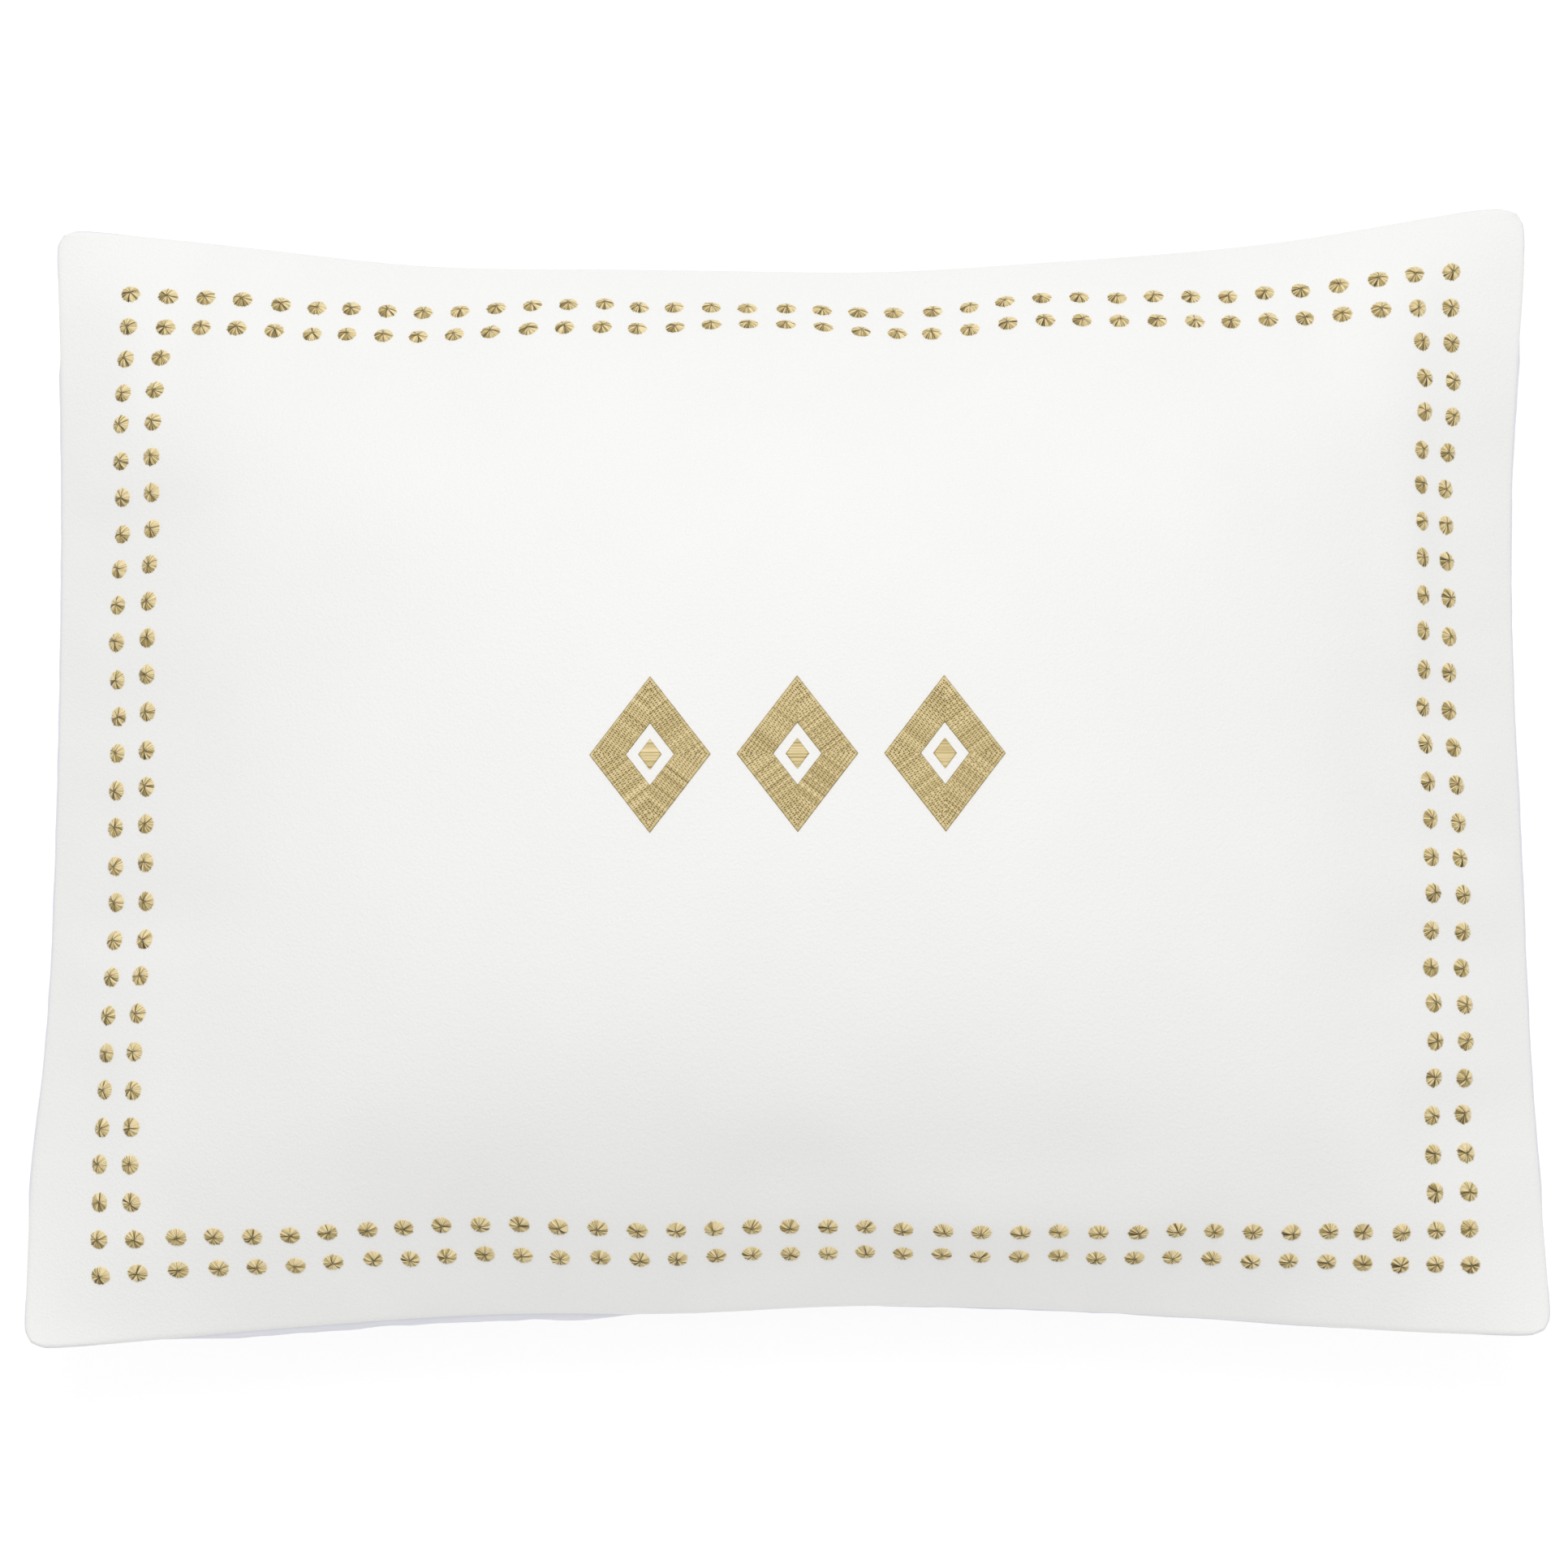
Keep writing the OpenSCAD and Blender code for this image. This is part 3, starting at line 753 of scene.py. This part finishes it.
def dot_places(inset):
    """Flat places of one ring of dots and the direction of travel, clockwise from the top left."""
    nx, ny = DOT_COUNT[0] - 2 * inset, DOT_COUNT[1] - 2 * inset
    half_x, half_y = (nx - 1) / 2 * DOT_PITCH, (ny - 1) / 2 * DOT_PITCH
    across = np.linspace(-half_x, half_x, nx)
    up = np.linspace(-half_y, half_y, ny)
    top = [(x, half_y, 0.0) for x in across[:-1]]
    right = [(half_x, y, -math.pi / 2) for y in up[:0:-1]]
    bottom = [(x, -half_y, math.pi) for x in across[:0:-1]]
    left = [(-half_x, y, math.pi / 2) for y in up[:-1]]
    return top + right + bottom + left


def dot_mesh(stitches=42, per=3):
    """Ring radii, angles and faces that all dots share."""
    radii = np.array([0.13, 0.34, 0.56, 0.77, 0.92, 1.0])
    n = stitches * per
    index = np.arange(n)
    following = np.roll(index, -1)
    faces = [(0, 1 + a, 1 + b) for a, b in zip(index, following)]
    for ring in range(len(radii) - 1):
        a, b = 1 + ring * n + index, 1 + ring * n + following
        faces += list(zip(a, a + n, b + n, b))
    last = 1 + (len(radii) - 1) * n
    under = last + n
    faces += [(last + a, under, last + b) for a, b in zip(index, following)]
    return radii, n, faces


def one_dot(radii, n, per, travel):
    """Flat offsets and heights, in metres, and tones of one dot's points. The tones carry painted shade and
    painted sheen.
    """
    stitches = n // per
    phase = np.arange(n) % per
    jitter = np.repeat(rng.normal(0, 0.16, stitches), per) * 2 * math.pi / stitches
    angle = np.arange(n) / n * 2 * math.pi + jitter + rng.random()
    between = phase == 0
    reach = np.repeat(rng.normal(1.0, 0.035, stitches), per)
    bundle = sum(
        rng.uniform(0.4, 1) * np.cos(k * angle + rng.random() * 2 * math.pi) for k in (3, 5, 7, 9, 12)
    )
    towards = np.cos(angle - travel)
    lean = rng.uniform(-0.12, 0.12, 2)
    crease = np.exp(-(((angle - travel + math.pi) % (2 * math.pi) - math.pi) / 0.16) ** 2)
    behind = np.exp(-(((angle - travel) % (2 * math.pi) - math.pi) / 0.5) ** 2)
    shade = np.repeat(rng.normal(0, 0.15, stitches), per)
    # the centre point gets painted shade, where the threads go down into the hole
    x, y, h, tone = [[0.0]], [[0.0]], [[0.86 * MM]], [[0.38]]
    for t in radii:
        r = DOT_R * t * np.ones(n)
        if t > 0.9:
            r = np.where(between, r * (0.8 if t > 0.99 else 0.9), r * reach)
        tail = crease * max(0, t - 0.8) * 2.2 * MM
        r = r + tail
        # threads curve a little on their way out
        turn = angle + 0.25 * (1 - t) * np.sin(2 * angle + lean[0] * 20)
        fade = 1 - t
        x.append(r * np.cos(turn) + lean[0] * DOT_R * fade)
        y.append(r * np.sin(turn) + lean[1] * DOT_R * fade)
        dome = 1.12 * MM * (1 - t**2.6) + 0.06 * MM
        ridge = np.where(between, -0.24, 0.05) * MM * min(1, t * 2.2)
        folds = 0.09 * bundle * MM * math.sin(math.pi * min(1, t + 0.1))
        pinch = -0.34 * MM * crease * (1 - t) ** 0.5 - 0.1 * MM * behind * (1 - t)
        edge = -0.5 * MM * (t > 0.99)
        h.append(dome + ridge + folds + pinch + edge)
        # Besides each stitch's random tone, the tone holds painted shade: darker in the gaps between
        # stitches, between the thread bundles, in the crease and the dip behind it, at the rim and near the
        # centre; a little painted light on the stitches and the bundles' crests, and painted sheen on
        # threads along the sheen angle.
        deep = np.where(between, -0.42, 0.07)
        tone.append(
            0.78 + shade + deep * (0.6 + 0.6 * t) + 0.2 * bundle * (1.2 - t) - 0.6 * crease * (1.1 - t)
            - 0.25 * behind * (1 - t) - 0.12 * (t > 0.95) - 0.25 * (t < 0.2) + 0.03 * towards
            + 0.22 * t * np.cos(angle - PAINTED_SHEEN_ANGLE)
        )
    # the underside's point, in the leather, gets painted shade
    x.append([0.0])
    y.append([0.0])
    h.append([-0.4 * MM])
    tone.append([0.2])
    return [np.concatenate([np.asarray(p, float) for p in part]) for part in (x, y, h, tone)]


def build_dots(name, node, inset):
    per = 3
    radii, n, faces = dot_mesh(per=per)
    stitch = np.concatenate([[0], np.tile(np.arange(n) / per, len(radii)), [0]])
    out = np.concatenate([[0], np.repeat(radii * DOT_R, n), [0]])
    uvs = np.stack([stitch, out], -1)
    parts = []
    for x0, y0, travel in dot_places(inset):
        x, y, h, tone = one_dot(radii, n, per, travel)
        x0 = x0 + rng.normal(0, DOT_SLIP)
        y0 = y0 + rng.normal(0, DOT_SLIP)
        parts.append((FRONT.lay(x0 + x, y0 + y, h), faces, uvs, tone))
    gold_piece(name, node, parts)


def fill_stitches(start, end, band, pitch=0.46 * MM, rows=24, stitch=3.1 * MM):
    """One side of a diamond-shaped stroke, from corner to corner of its outer edge.

    Parallel threads lie across the stroke, three columns of points each. They are cut off by
    the lines from the diamond's middle to its corners, where the next side's threads begin.
    """
    per = 3
    length = np.linalg.norm(end - start)
    along = (end - start) / length
    inward = np.array([-along[1], along[0]])
    slopes = [abs(np.dot(corner, inward) / np.dot(corner, along)) for corner in (start, end)]
    threads = int(length / pitch)
    index = np.arange(1, threads * per)
    s = index / (threads * per) * length
    thread = index // per
    deep = np.minimum.reduce([np.full_like(s, band), s * slopes[0], (length - s) * slopes[1]])
    between = index % per == 0
    shade = rng.normal(0, 0.07, threads)[thread]
    wander = rng.normal(0, 0.05, threads)[thread]
    slip = rng.normal(0, 0.09, threads)[thread] * MM
    q = (np.arange(rows + 1) / rows)[:, None] * (deep + 0.05 * MM) - slip * 0.5
    edge = np.clip(np.minimum(q, band - q) / MM, 0, None)
    phase = (q / stitch + (thread % 2) * 0.5 + wander) % 1
    needle = np.exp(-(((phase - 0.5) / 0.1) ** 2)) * np.clip(edge - 0.3, 0, 1)
    # rim: painted shade along the stroke's edges, where the threads go down into the leather
    rim = np.exp(-((edge / 0.3) ** 2))
    plump = 0.92 * MM * (1 - (1 - np.clip(edge / 1.3, 0, 1)) ** 3)
    groove = np.where(between, -0.22, 0.04) * MM * np.clip(edge / 0.8, 0, 1)
    h = plump + groove - 0.3 * MM * needle - 0.04 * MM
    # painted shade in the grooves between threads, in the needle holes and along the edges; a little painted
    # light on each thread's crown
    tone = 0.8 + shade + np.where(between, -0.3, 0.06) - 0.62 * needle - 0.4 * rim
    place = start + along * s[:, None] + inward * q[..., None]
    uv = np.stack(np.broadcast_arrays(index / per, q), -1)
    return place, h, tone, uv


def closed_patch(centre, place, h, tone, uv):
    """Points, faces, uvs and tones of embroidery whose underside lies just in the leather."""
    x, y = centre[0] + place[..., 0], centre[1] + place[..., 1]
    under = np.full_like(h, -0.35 * MM)
    verts = np.concatenate([FRONT.lay(x, y, lift).reshape(-1, 3) for lift in (h, under)])
    # the underside, just in the leather, gets painted shade
    tones = np.concatenate([tone.ravel(), np.full(h.size, 0.25)])
    return verts, closed_faces(*h.shape), np.concatenate([uv.reshape(-1, 2)] * 2), tones


def build_lozenge(name, node, place):
    centre = LOZENGE_MID + np.array([place * LOZENGE_PITCH, 0])
    half = LOZENGE_SIZE / 2
    corners = [half * c for c in ((1, 0), (0, 1), (-1, 0), (0, -1), (1, 0))]
    patches = [
        closed_patch(centre, *fill_stitches(start, end, LOZENGE_BAND))
        for start, end in zip(corners[:-1], corners[1:])
    ]
    patches.append(closed_patch(centre, *lozenge_core(half * 0.2)))
    gold_piece(name, node, patches)


def lozenge_core(half):
    """A small filled diamond of satin stitches that lie across it."""
    threads, per, cols = 28, 3, 10
    index = np.arange(1, threads * per)
    v = index / (threads * per) * 2 - 1
    width = 1 - np.abs(v)
    s = np.linspace(-1, 1, cols + 1)
    x = half[0] * width[:, None] * s
    y = np.broadcast_to((half[1] * v)[:, None], x.shape)
    between = (index % per == 0)[:, None]
    shade = rng.normal(0, 0.08, threads)[index // per][:, None]
    plump = (1 - np.abs(s) ** 3)[None] * np.minimum(1, 5 * width)[:, None]
    h = 0.95 * MM * plump - 0.05 * MM + np.where(between, -0.2, 0.04) * MM * plump
    # painted shade in the grooves between threads and along the diamond's side edges; a little painted light
    # on each thread's crown
    tone = 0.78 + shade + np.where(between, -0.26, 0.05) - 0.3 * (np.abs(s) > 0.95)[None]
    uv = np.stack(np.broadcast_arrays((index / per)[:, None], x), -1)
    return np.stack([x, y], -1), h, np.broadcast_to(tone, x.shape), uv


# ------------ inside the cover
def inside(x, y, top_gap, bottom_gap, share):
    """A point between the front and the back: share 1 lies top_gap under the front's outer face,
    share 0 lies bottom_gap over the back's."""
    top, bottom = FRONT.at(x, y), BACK.at(x, y)
    deep = np.linalg.norm(top - bottom, axis=-1)
    hold = zip_hold(*plan(x * 2 / FLAT_L, y * 2 / FLAT_W))
    low = (bottom_gap + 4.5 * MM * hold) / deep
    high = 1 - top_gap / deep
    middle = (low + high) / 2
    high, low = np.maximum(high, middle), np.minimum(low, middle)
    at = low + (high - low) * share
    return bottom + (top - bottom) * at[..., None]


def cushion(name, inset, top_gap, bottom_gap, cols, rows, waves):
    """A closed crowned form inside the cover, its two faces meeting at a rim."""
    u, v = flat_grid(cols, rows)
    # more lines near the rim
    u, v = np.sin(u * math.pi / 2) * 0.35 + u * 0.65, np.sin(v * math.pi / 2) * 0.35 + v * 0.65
    x, y = u * (FLAT_L / 2 - inset), v * (FLAT_W / 2 - inset)
    d = np.minimum((1 - np.abs(u)) * FLAT_L / 2, (1 - np.abs(v)) * FLAT_W / 2)
    t = np.clip(d / (16 * MM), 0, 1)
    full = np.sqrt(1 - (1 - t) ** 2)
    ripple = waves * wavy(x + y * 0.4, 18 * MM, 90 * MM) * wavy(y - x * 0.3, 18 * MM, 90 * MM) * full
    top = inside(x, y, top_gap + np.abs(ripple), bottom_gap, 0.5 + 0.5 * full)
    bottom = inside(x, y, top_gap, bottom_gap + np.abs(ripple), 0.5 - 0.5 * full)
    faces = pillow_faces(*top.shape[:2])
    flat = np.stack([x, y], -1).reshape(-1, 2)
    verts = np.concatenate([top.reshape(-1, 3), bottom.reshape(-1, 3)])
    # the bottom's outermost points aren't used by any face
    used = np.unique(faces)
    where = np.full(len(verts), -1)
    where[used] = np.arange(len(used))
    return mesh_object(name, verts[used], where[faces], np.concatenate([flat, flat])[used])


def build_insert():
    made = cushion("insert", INSERT_INSET, *INSERT_GAPS, 190, 146, 0.5 * MM)
    finish_piece(made, TICKING, "ticking", "insert_front", "insert_back")
    fill = cushion("insert_fibre", 20 * MM, LEATHER_T + 5 * MM, SATIN_T + 3.6 * MM, 120, 92, 1.2 * MM)
    finish_piece(fill, FIBRE, "filling", "insert_filling")


def rounded_loop(inset, step, radius):
    """Flat places along a rectangle inside the seam, with rounded corners, about step apart."""
    half = np.array([FLAT_L / 2 - inset, FLAT_W / 2 - inset])
    places = []
    for corner, (sx, sy) in enumerate(((1, -1), (1, 1), (-1, 1), (-1, -1))):
        centre = half * (sx, sy) - radius * np.array([sx, sy])
        for a in np.linspace(-90, 0, 9) + 90 * corner:
            places.append(centre + radius * np.array([math.cos(math.radians(a)), math.sin(math.radians(a))]))
    places = np.array(places + [places[0]])
    lengths = np.concatenate([[0], np.cumsum(np.linalg.norm(np.diff(places, axis=0), axis=1))])
    count = int(round(lengths[-1] / step))
    s = np.arange(count) * lengths[-1] / count
    return np.stack([np.interp(s, lengths, places[:, 0]), np.interp(s, lengths, places[:, 1])], -1)


def tube(path, radii, sides=8, closed=True):
    """Points and faces of a tube along a path, with a radius for each of its points."""
    n = len(path)
    forward = np.roll(path, -1, 0) - np.roll(path, 1, 0)
    if not closed:
        forward[0], forward[-1] = path[1] - path[0], path[-1] - path[-2]
    forward /= np.linalg.norm(forward, axis=1, keepdims=True)
    side = np.cross(forward, [0, 0, 1.0])
    weak = np.linalg.norm(side, axis=1) < 0.2
    side[weak] = np.cross(forward[weak], [0, 1.0, 0])
    side /= np.linalg.norm(side, axis=1, keepdims=True)
    over = np.cross(side, forward)
    a = np.arange(sides) / sides * 2 * math.pi
    ring = side[:, None] * np.cos(a)[:, None] + over[:, None] * np.sin(a)[:, None]
    verts = path[:, None] + ring * np.asarray(radii)[:, None, None]
    faces = []
    index = np.arange(sides)
    following = np.roll(index, -1)
    for k in range(n if closed else n - 1):
        a0, b0 = k * sides, (k + 1) % n * sides
        faces += list(zip(a0 + index, a0 + following, b0 + following, b0 + index))
    if not closed:
        faces += [tuple(index), tuple((n - 1) * sides + index[::-1])]
    return verts.reshape(-1, 3), faces


def thread_piece(name, node, verts, faces):
    finish_piece(mesh_object(name, verts, faces), WHITE_THREAD, "white_thread", node)


def build_seams():
    """Lockstitches: the thread swells along each stitch and dips at each needle hole."""
    seams = (
        ("cover_seam_stitches", "seam_thread", 1.6 * MM, 6 * MM, (0, 0)),
        ("insert_seam_stitches", "insert_seam", INSERT_INSET + 0.9 * MM, 8 * MM, INSERT_GAPS),
    )
    step, per_stitch = 0.62 * MM, 5
    for name, node, inset, radius, gaps in seams:
        places = rounded_loop(inset, step, radius)
        path = inside(places[:, 0], places[:, 1], *gaps, 0.5)
        phase = np.arange(len(path)) % per_stitch / per_stitch
        thread_piece(name, node, *tube(path, 0.34 * MM * (0.55 + 0.45 * np.sin(math.pi * phase))))


def band_loop(name, insets, step, point_top, point_bottom):
    """A closed band along the border, from its upper and lower faces' points."""
    loops = [rounded_loop(inset, step, 8 * MM) for inset in insets]
    count = min(len(loop) for loop in loops)
    loops = [
        np.stack([np.interp(np.arange(count) * len(loop) / count, np.arange(len(loop) + 1),
                            np.append(loop[:, k], loop[0, k])) for k in (0, 1)], -1)
        for loop in loops
    ]
    top = [point_top(loop[:, 0], loop[:, 1]) for loop in loops]
    bottom = [point_bottom(loop[:, 0], loop[:, 1]) for loop in loops[::-1]]
    section = np.stack(top + bottom)
    rows = section.shape[0]
    c = np.arange(count)
    d = (c + 1) % count
    faces = []
    for r in range(rows):
        a, b = r * count, (r + 1) % rows * count
        faces.append(np.stack([a + c, a + d, b + d, b + c], -1))
    flat = np.concatenate([np.stack(loops), np.stack(loops[::-1])]).reshape(-1, 2)
    return mesh_object(name, section.reshape(-1, 3), np.concatenate(faces), flat)


def build_hidden_plies():
    def share(amount):
        return lambda x, y: inside(x, y, LEATHER_T + 0.7 * MM, SATIN_T + 0.7 * MM, amount)

    def under_front(gap):
        return lambda x, y: FRONT.lay(x, y, -(LEATHER_T + gap) * np.ones_like(x))

    over, under = under_front(0.15 * MM), under_front(0.6 * MM)
    made = band_loop("turned_edges", [2.6 * MM, 6 * MM, 9.5 * MM], 4 * MM, share(0.62), share(0.38))
    finish_piece(made, LEATHER, "leather", "seam_allowance")
    insets = np.array([24, 34, 43, 52, 62]) * MM
    made = band_loop("border_stabiliser", insets, 6 * MM, over, under)
    finish_piece(made, FELT, "backing", "border_backing")
    half = np.array([1.5 * LOZENGE_PITCH + 4 * MM, LOZENGE_SIZE[1] / 2 + 8 * MM])
    gx, gy = np.meshgrid(np.linspace(-1, 1, 61), np.linspace(-1, 1, 27))
    x, y = LOZENGE_MID[0] + half[0] * gx, LOZENGE_MID[1] + half[1] * gy
    made = shell("lozenge_stabiliser", over(x, y), under(x, y), x, y)
    finish_piece(made, FELT, "backing", "lozenge_backing")


# ------------ zip
ZIP_FRAME = Matrix.Translation((0, -ZIP_Y, ZIP_Z)) @ Matrix.Rotation(math.pi - ZIP_SLOPE, 4, "X")
TAPE_W, TAPE_T, TAPE_END = 12 * MM, 0.6 * MM, 12 * MM
COIL_PITCH, COIL_R = 1.3 * MM, 0.28 * MM


def zip_points(points):
    """From the zip's own frame (x along it, z outwards) to the object's."""
    matrix = np.array(ZIP_FRAME)
    return np.asarray(points) @ matrix[:3, :3].T + matrix[:3, 3]


ZIP_OUT = zip_points([[0, 0, 1]])[0] - zip_points([[0, 0, 0]])[0]


def build_tape(name, node, side):
    """One woven tape: a flat strip with a thin cord along its outer edge."""
    xs = np.linspace(-ZIP_L / 2 - TAPE_END, ZIP_L / 2 + TAPE_END, 241)
    ys = np.array([0.5, 0.9, 1.6, 2.4, 3.2, 4.2, 5.4, 6.6, 7.8, 9, 10.2, 11.2, 11.8, 12.0]) * MM
    x, y = np.meshgrid(xs, ys)
    cord = 0.12 * MM * np.exp(-(((y - 11.2 * MM) / (0.5 * MM)) ** 2))
    ripple = 0.12 * MM * np.sin(x * 2 * math.pi / (17 * MM)) * np.clip((y - 8 * MM) / (4 * MM), 0, 1)
    top = np.stack([x, side * y, np.zeros_like(x)], -1)
    low = np.stack([x, side * y, -TAPE_T - cord - np.abs(ripple)], -1)
    made = shell(name, zip_points(top), zip_points(low), x, y, flip=side < 0)
    finish_piece(made, TAPE, "zip_tape", node)


def build_coil(name, node, side):
    """A nylon coil: one wire wound in flat loops along the tape's edge."""
    per = 14
    length = 385.5 * MM
    loops = int(length / COIL_PITCH)
    k = np.arange(loops * per + 1)
    turn = k / per * 2 * math.pi
    start = -length / 2 + (0.5 * COIL_PITCH if side > 0 else 0)
    x = start + k / per * COIL_PITCH + 0.2 * MM * np.sin(turn)
    half_w, half_h = 0.95 * MM, 0.68 * MM
    head = np.sign(np.cos(turn)) * np.abs(np.cos(turn)) ** 0.7
    y = side * (1.66 * MM - half_w * head)
    z = 1.02 * MM + half_h * np.sign(np.sin(turn)) * np.abs(np.sin(turn)) ** 0.8
    # the head is pressed wider, so that it grips its neighbours
    radius = COIL_R * (1 + 0.22 * np.exp(-(((1 - np.cos(turn)) / 0.3) ** 2)))
    verts, faces = tube(zip_points(np.stack([x, y, z], -1)), radius, 6, closed=False)
    finish_piece(mesh_object(name, verts, faces), NYLON, "zip_coil", node)


def short_thread(start, end, radius, droop):
    """A thread from start to end beside the zip, thinner where it enters the cloth."""
    t = np.linspace(0, 1, 7)
    path = start + (end - start) * t[:, None]
    path = path + ZIP_OUT * (np.sin(math.pi * t) * radius * 0.9 - droop)[:, None]
    return tube(path, radius * np.sqrt(np.clip(1 - (2 * t - 1) ** 4, 0.12, 1)), 6, closed=False)


def build_zip_stitching():
    """One line of stitches beside each fold, through satin and tape."""
    parts = []
    pitch, length = 2.9 * MM, 2.35 * MM
    count = int(ZIP_L / pitch)
    for side in (-1, 1):
        for k in range(count):
            x = (k - (count - 1) / 2) * pitch + rng.normal(0, 0.05) * MM
            y = side * (ZIP_FOLD + 2 * MM + rng.normal(0, 0.04) * MM)
            ends = zip_points([[x - length / 2, y, 0.8 * MM], [x + length / 2, y, 0.8 * MM]])
            parts.append(short_thread(*ends, 0.24 * MM, 0.06 * MM))
    thread_piece("zip_stitches", "zip_stitching", *joined(parts))


def build_bar_tacks():
    """A short dense zigzag across each end of the zip."""
    parts = []
    for end in (-1, 1):
        for k in range(15):
            y = (k - 7) * 0.62 * MM
            x = end * (ZIP_L / 2 + 6 * MM)
            lean = 0.3 * MM * (-1) ** k
            ends = zip_points([[x - 1.0 * MM, y - lean, 0.85 * MM], [x + 1.0 * MM, y + lean, 0.85 * MM]])
            parts.append(short_thread(*ends, 0.3 * MM, 0.05 * MM))
    thread_piece("zip_bar_tack_threads", "zip_bar_tacks", *joined(parts))


def dress_metal():
    """The slider, pull and stops keep their shapes, with softened edges and plated metal."""
    for node in ("zip_slider", "zip_pull", "zip_closed_stops", "zip_open_stop"):
        made = bpy.data.objects[node]
        made.data.materials.clear()
        made.data.materials.append(METAL)
        soft = made.modifiers.new("soft_edges", "BEVEL")
        soft.width, soft.segments, soft.limit_method = 0.18 * MM, 2, "ANGLE"
        soft.angle_limit = math.radians(40)


# ------------ stage
def area_light(name, place, aim, size, watts):
    data = bpy.data.lights.new(name, "AREA")
    data.shape, data.size, data.energy = "DISK", size, watts
    made = bpy.data.objects.new(name, data)
    made.location = place
    made.rotation_euler = (Vector(aim) - Vector(place)).to_track_quat("-Z", "Y").to_euler()
    bpy.context.scene.collection.objects.link(made)


def build_stage():
    corners = [(6 * x, 6 * y, -0.0005) for x, y in ((-1, -1), (1, -1), (1, 1), (-1, 1))]
    floor = mesh_object("floor", corners, [(0, 1, 2, 3)])
    made, node, wear = new_material("pale_floor")
    clouds = noise(node, object_place(node), 3.0)
    wear("Base Color", mix_colour(node, clouds, rgba(0.395, 0.395, 0.395), rgba(0.405, 0.405, 0.405)))
    wear("Emission Color", rgba(1, 1, 1))
    wear("Emission Strength", 0.66)
    wear("Roughness", 0.9)
    wear("Specular IOR Level", 0.1)
    floor.data.materials.append(made)
    world = bpy.data.worlds.new("soft_room")
    bpy.context.scene.world = world
    world.use_nodes = True
    sky = world.node_tree.nodes["Background"]
    sky.inputs[0].default_value = rgba(1.0, 0.997, 0.99)
    # the room is a little brighter overhead and towards the top edge
    nodes = world.node_tree.nodes
    tilt, level = nodes.new("ShaderNodeVectorMath"), nodes.new("ShaderNodeMath")
    tilt.operation = "DOT_PRODUCT"
    fill(tilt.inputs[0], nodes.new("ShaderNodeTexCoord").outputs["Generated"])
    fill(tilt.inputs[1], (0.01, 0.06, 0.52))
    fill(level.inputs[0], tilt.outputs["Value"])
    fill(level.inputs[1], 0.5)
    fill(sky.inputs[1], level.outputs[0])
    area_light("key", (0.0, 0.85, 1.7), (0, 0, 0.1), 1.0, 7.5)
    bpy.context.scene.view_settings.view_transform = "Standard"
    bpy.context.scene.view_settings.look = "None"


def build_camera():
    """Almost straight above, a little nearer the bottom edge, with a normal lens."""
    data = bpy.data.cameras.new("camera")
    data.sensor_width, data.lens = 36, 64.66
    data.clip_start, data.clip_end = 0.05, 20
    made = bpy.data.objects.new("camera", data)
    forward = Vector((-0.00716, 0.12481, -0.99215)).normalized()
    side = Vector((0.99996, -0.00413, -0.00773))
    side = (side - forward * side.dot(forward)).normalized()
    turn = Matrix((side, side.cross(forward), -forward)).transposed()
    made.matrix_world = Matrix.Translation((0.0077, -0.1602, 1.3)) @ turn.to_4x4()
    bpy.context.scene.collection.objects.link(made)
    bpy.context.scene.camera = made


build_camera()
build_stage()
build_insert()
build_front()
build_back()
build_seams()
build_hidden_plies()
for inset, ring in enumerate(("dots_outer", "dots_inner")):
    build_dots(f"{ring}_stitches", ring, inset)
for place, lozenge in enumerate(("lozenge_left", "lozenge_centre", "lozenge_right"), -1):
    build_lozenge(f"{lozenge}_stitches", lozenge, place)
for build, kind in ((build_tape, "tape"), (build_coil, "coil")):
    build(f"{kind}_upper", f"zip_{kind}_upper", -1)
    build(f"{kind}_lower", f"zip_{kind}_lower", 1)
build_zip_stitching()
build_bar_tacks()
dress_metal()
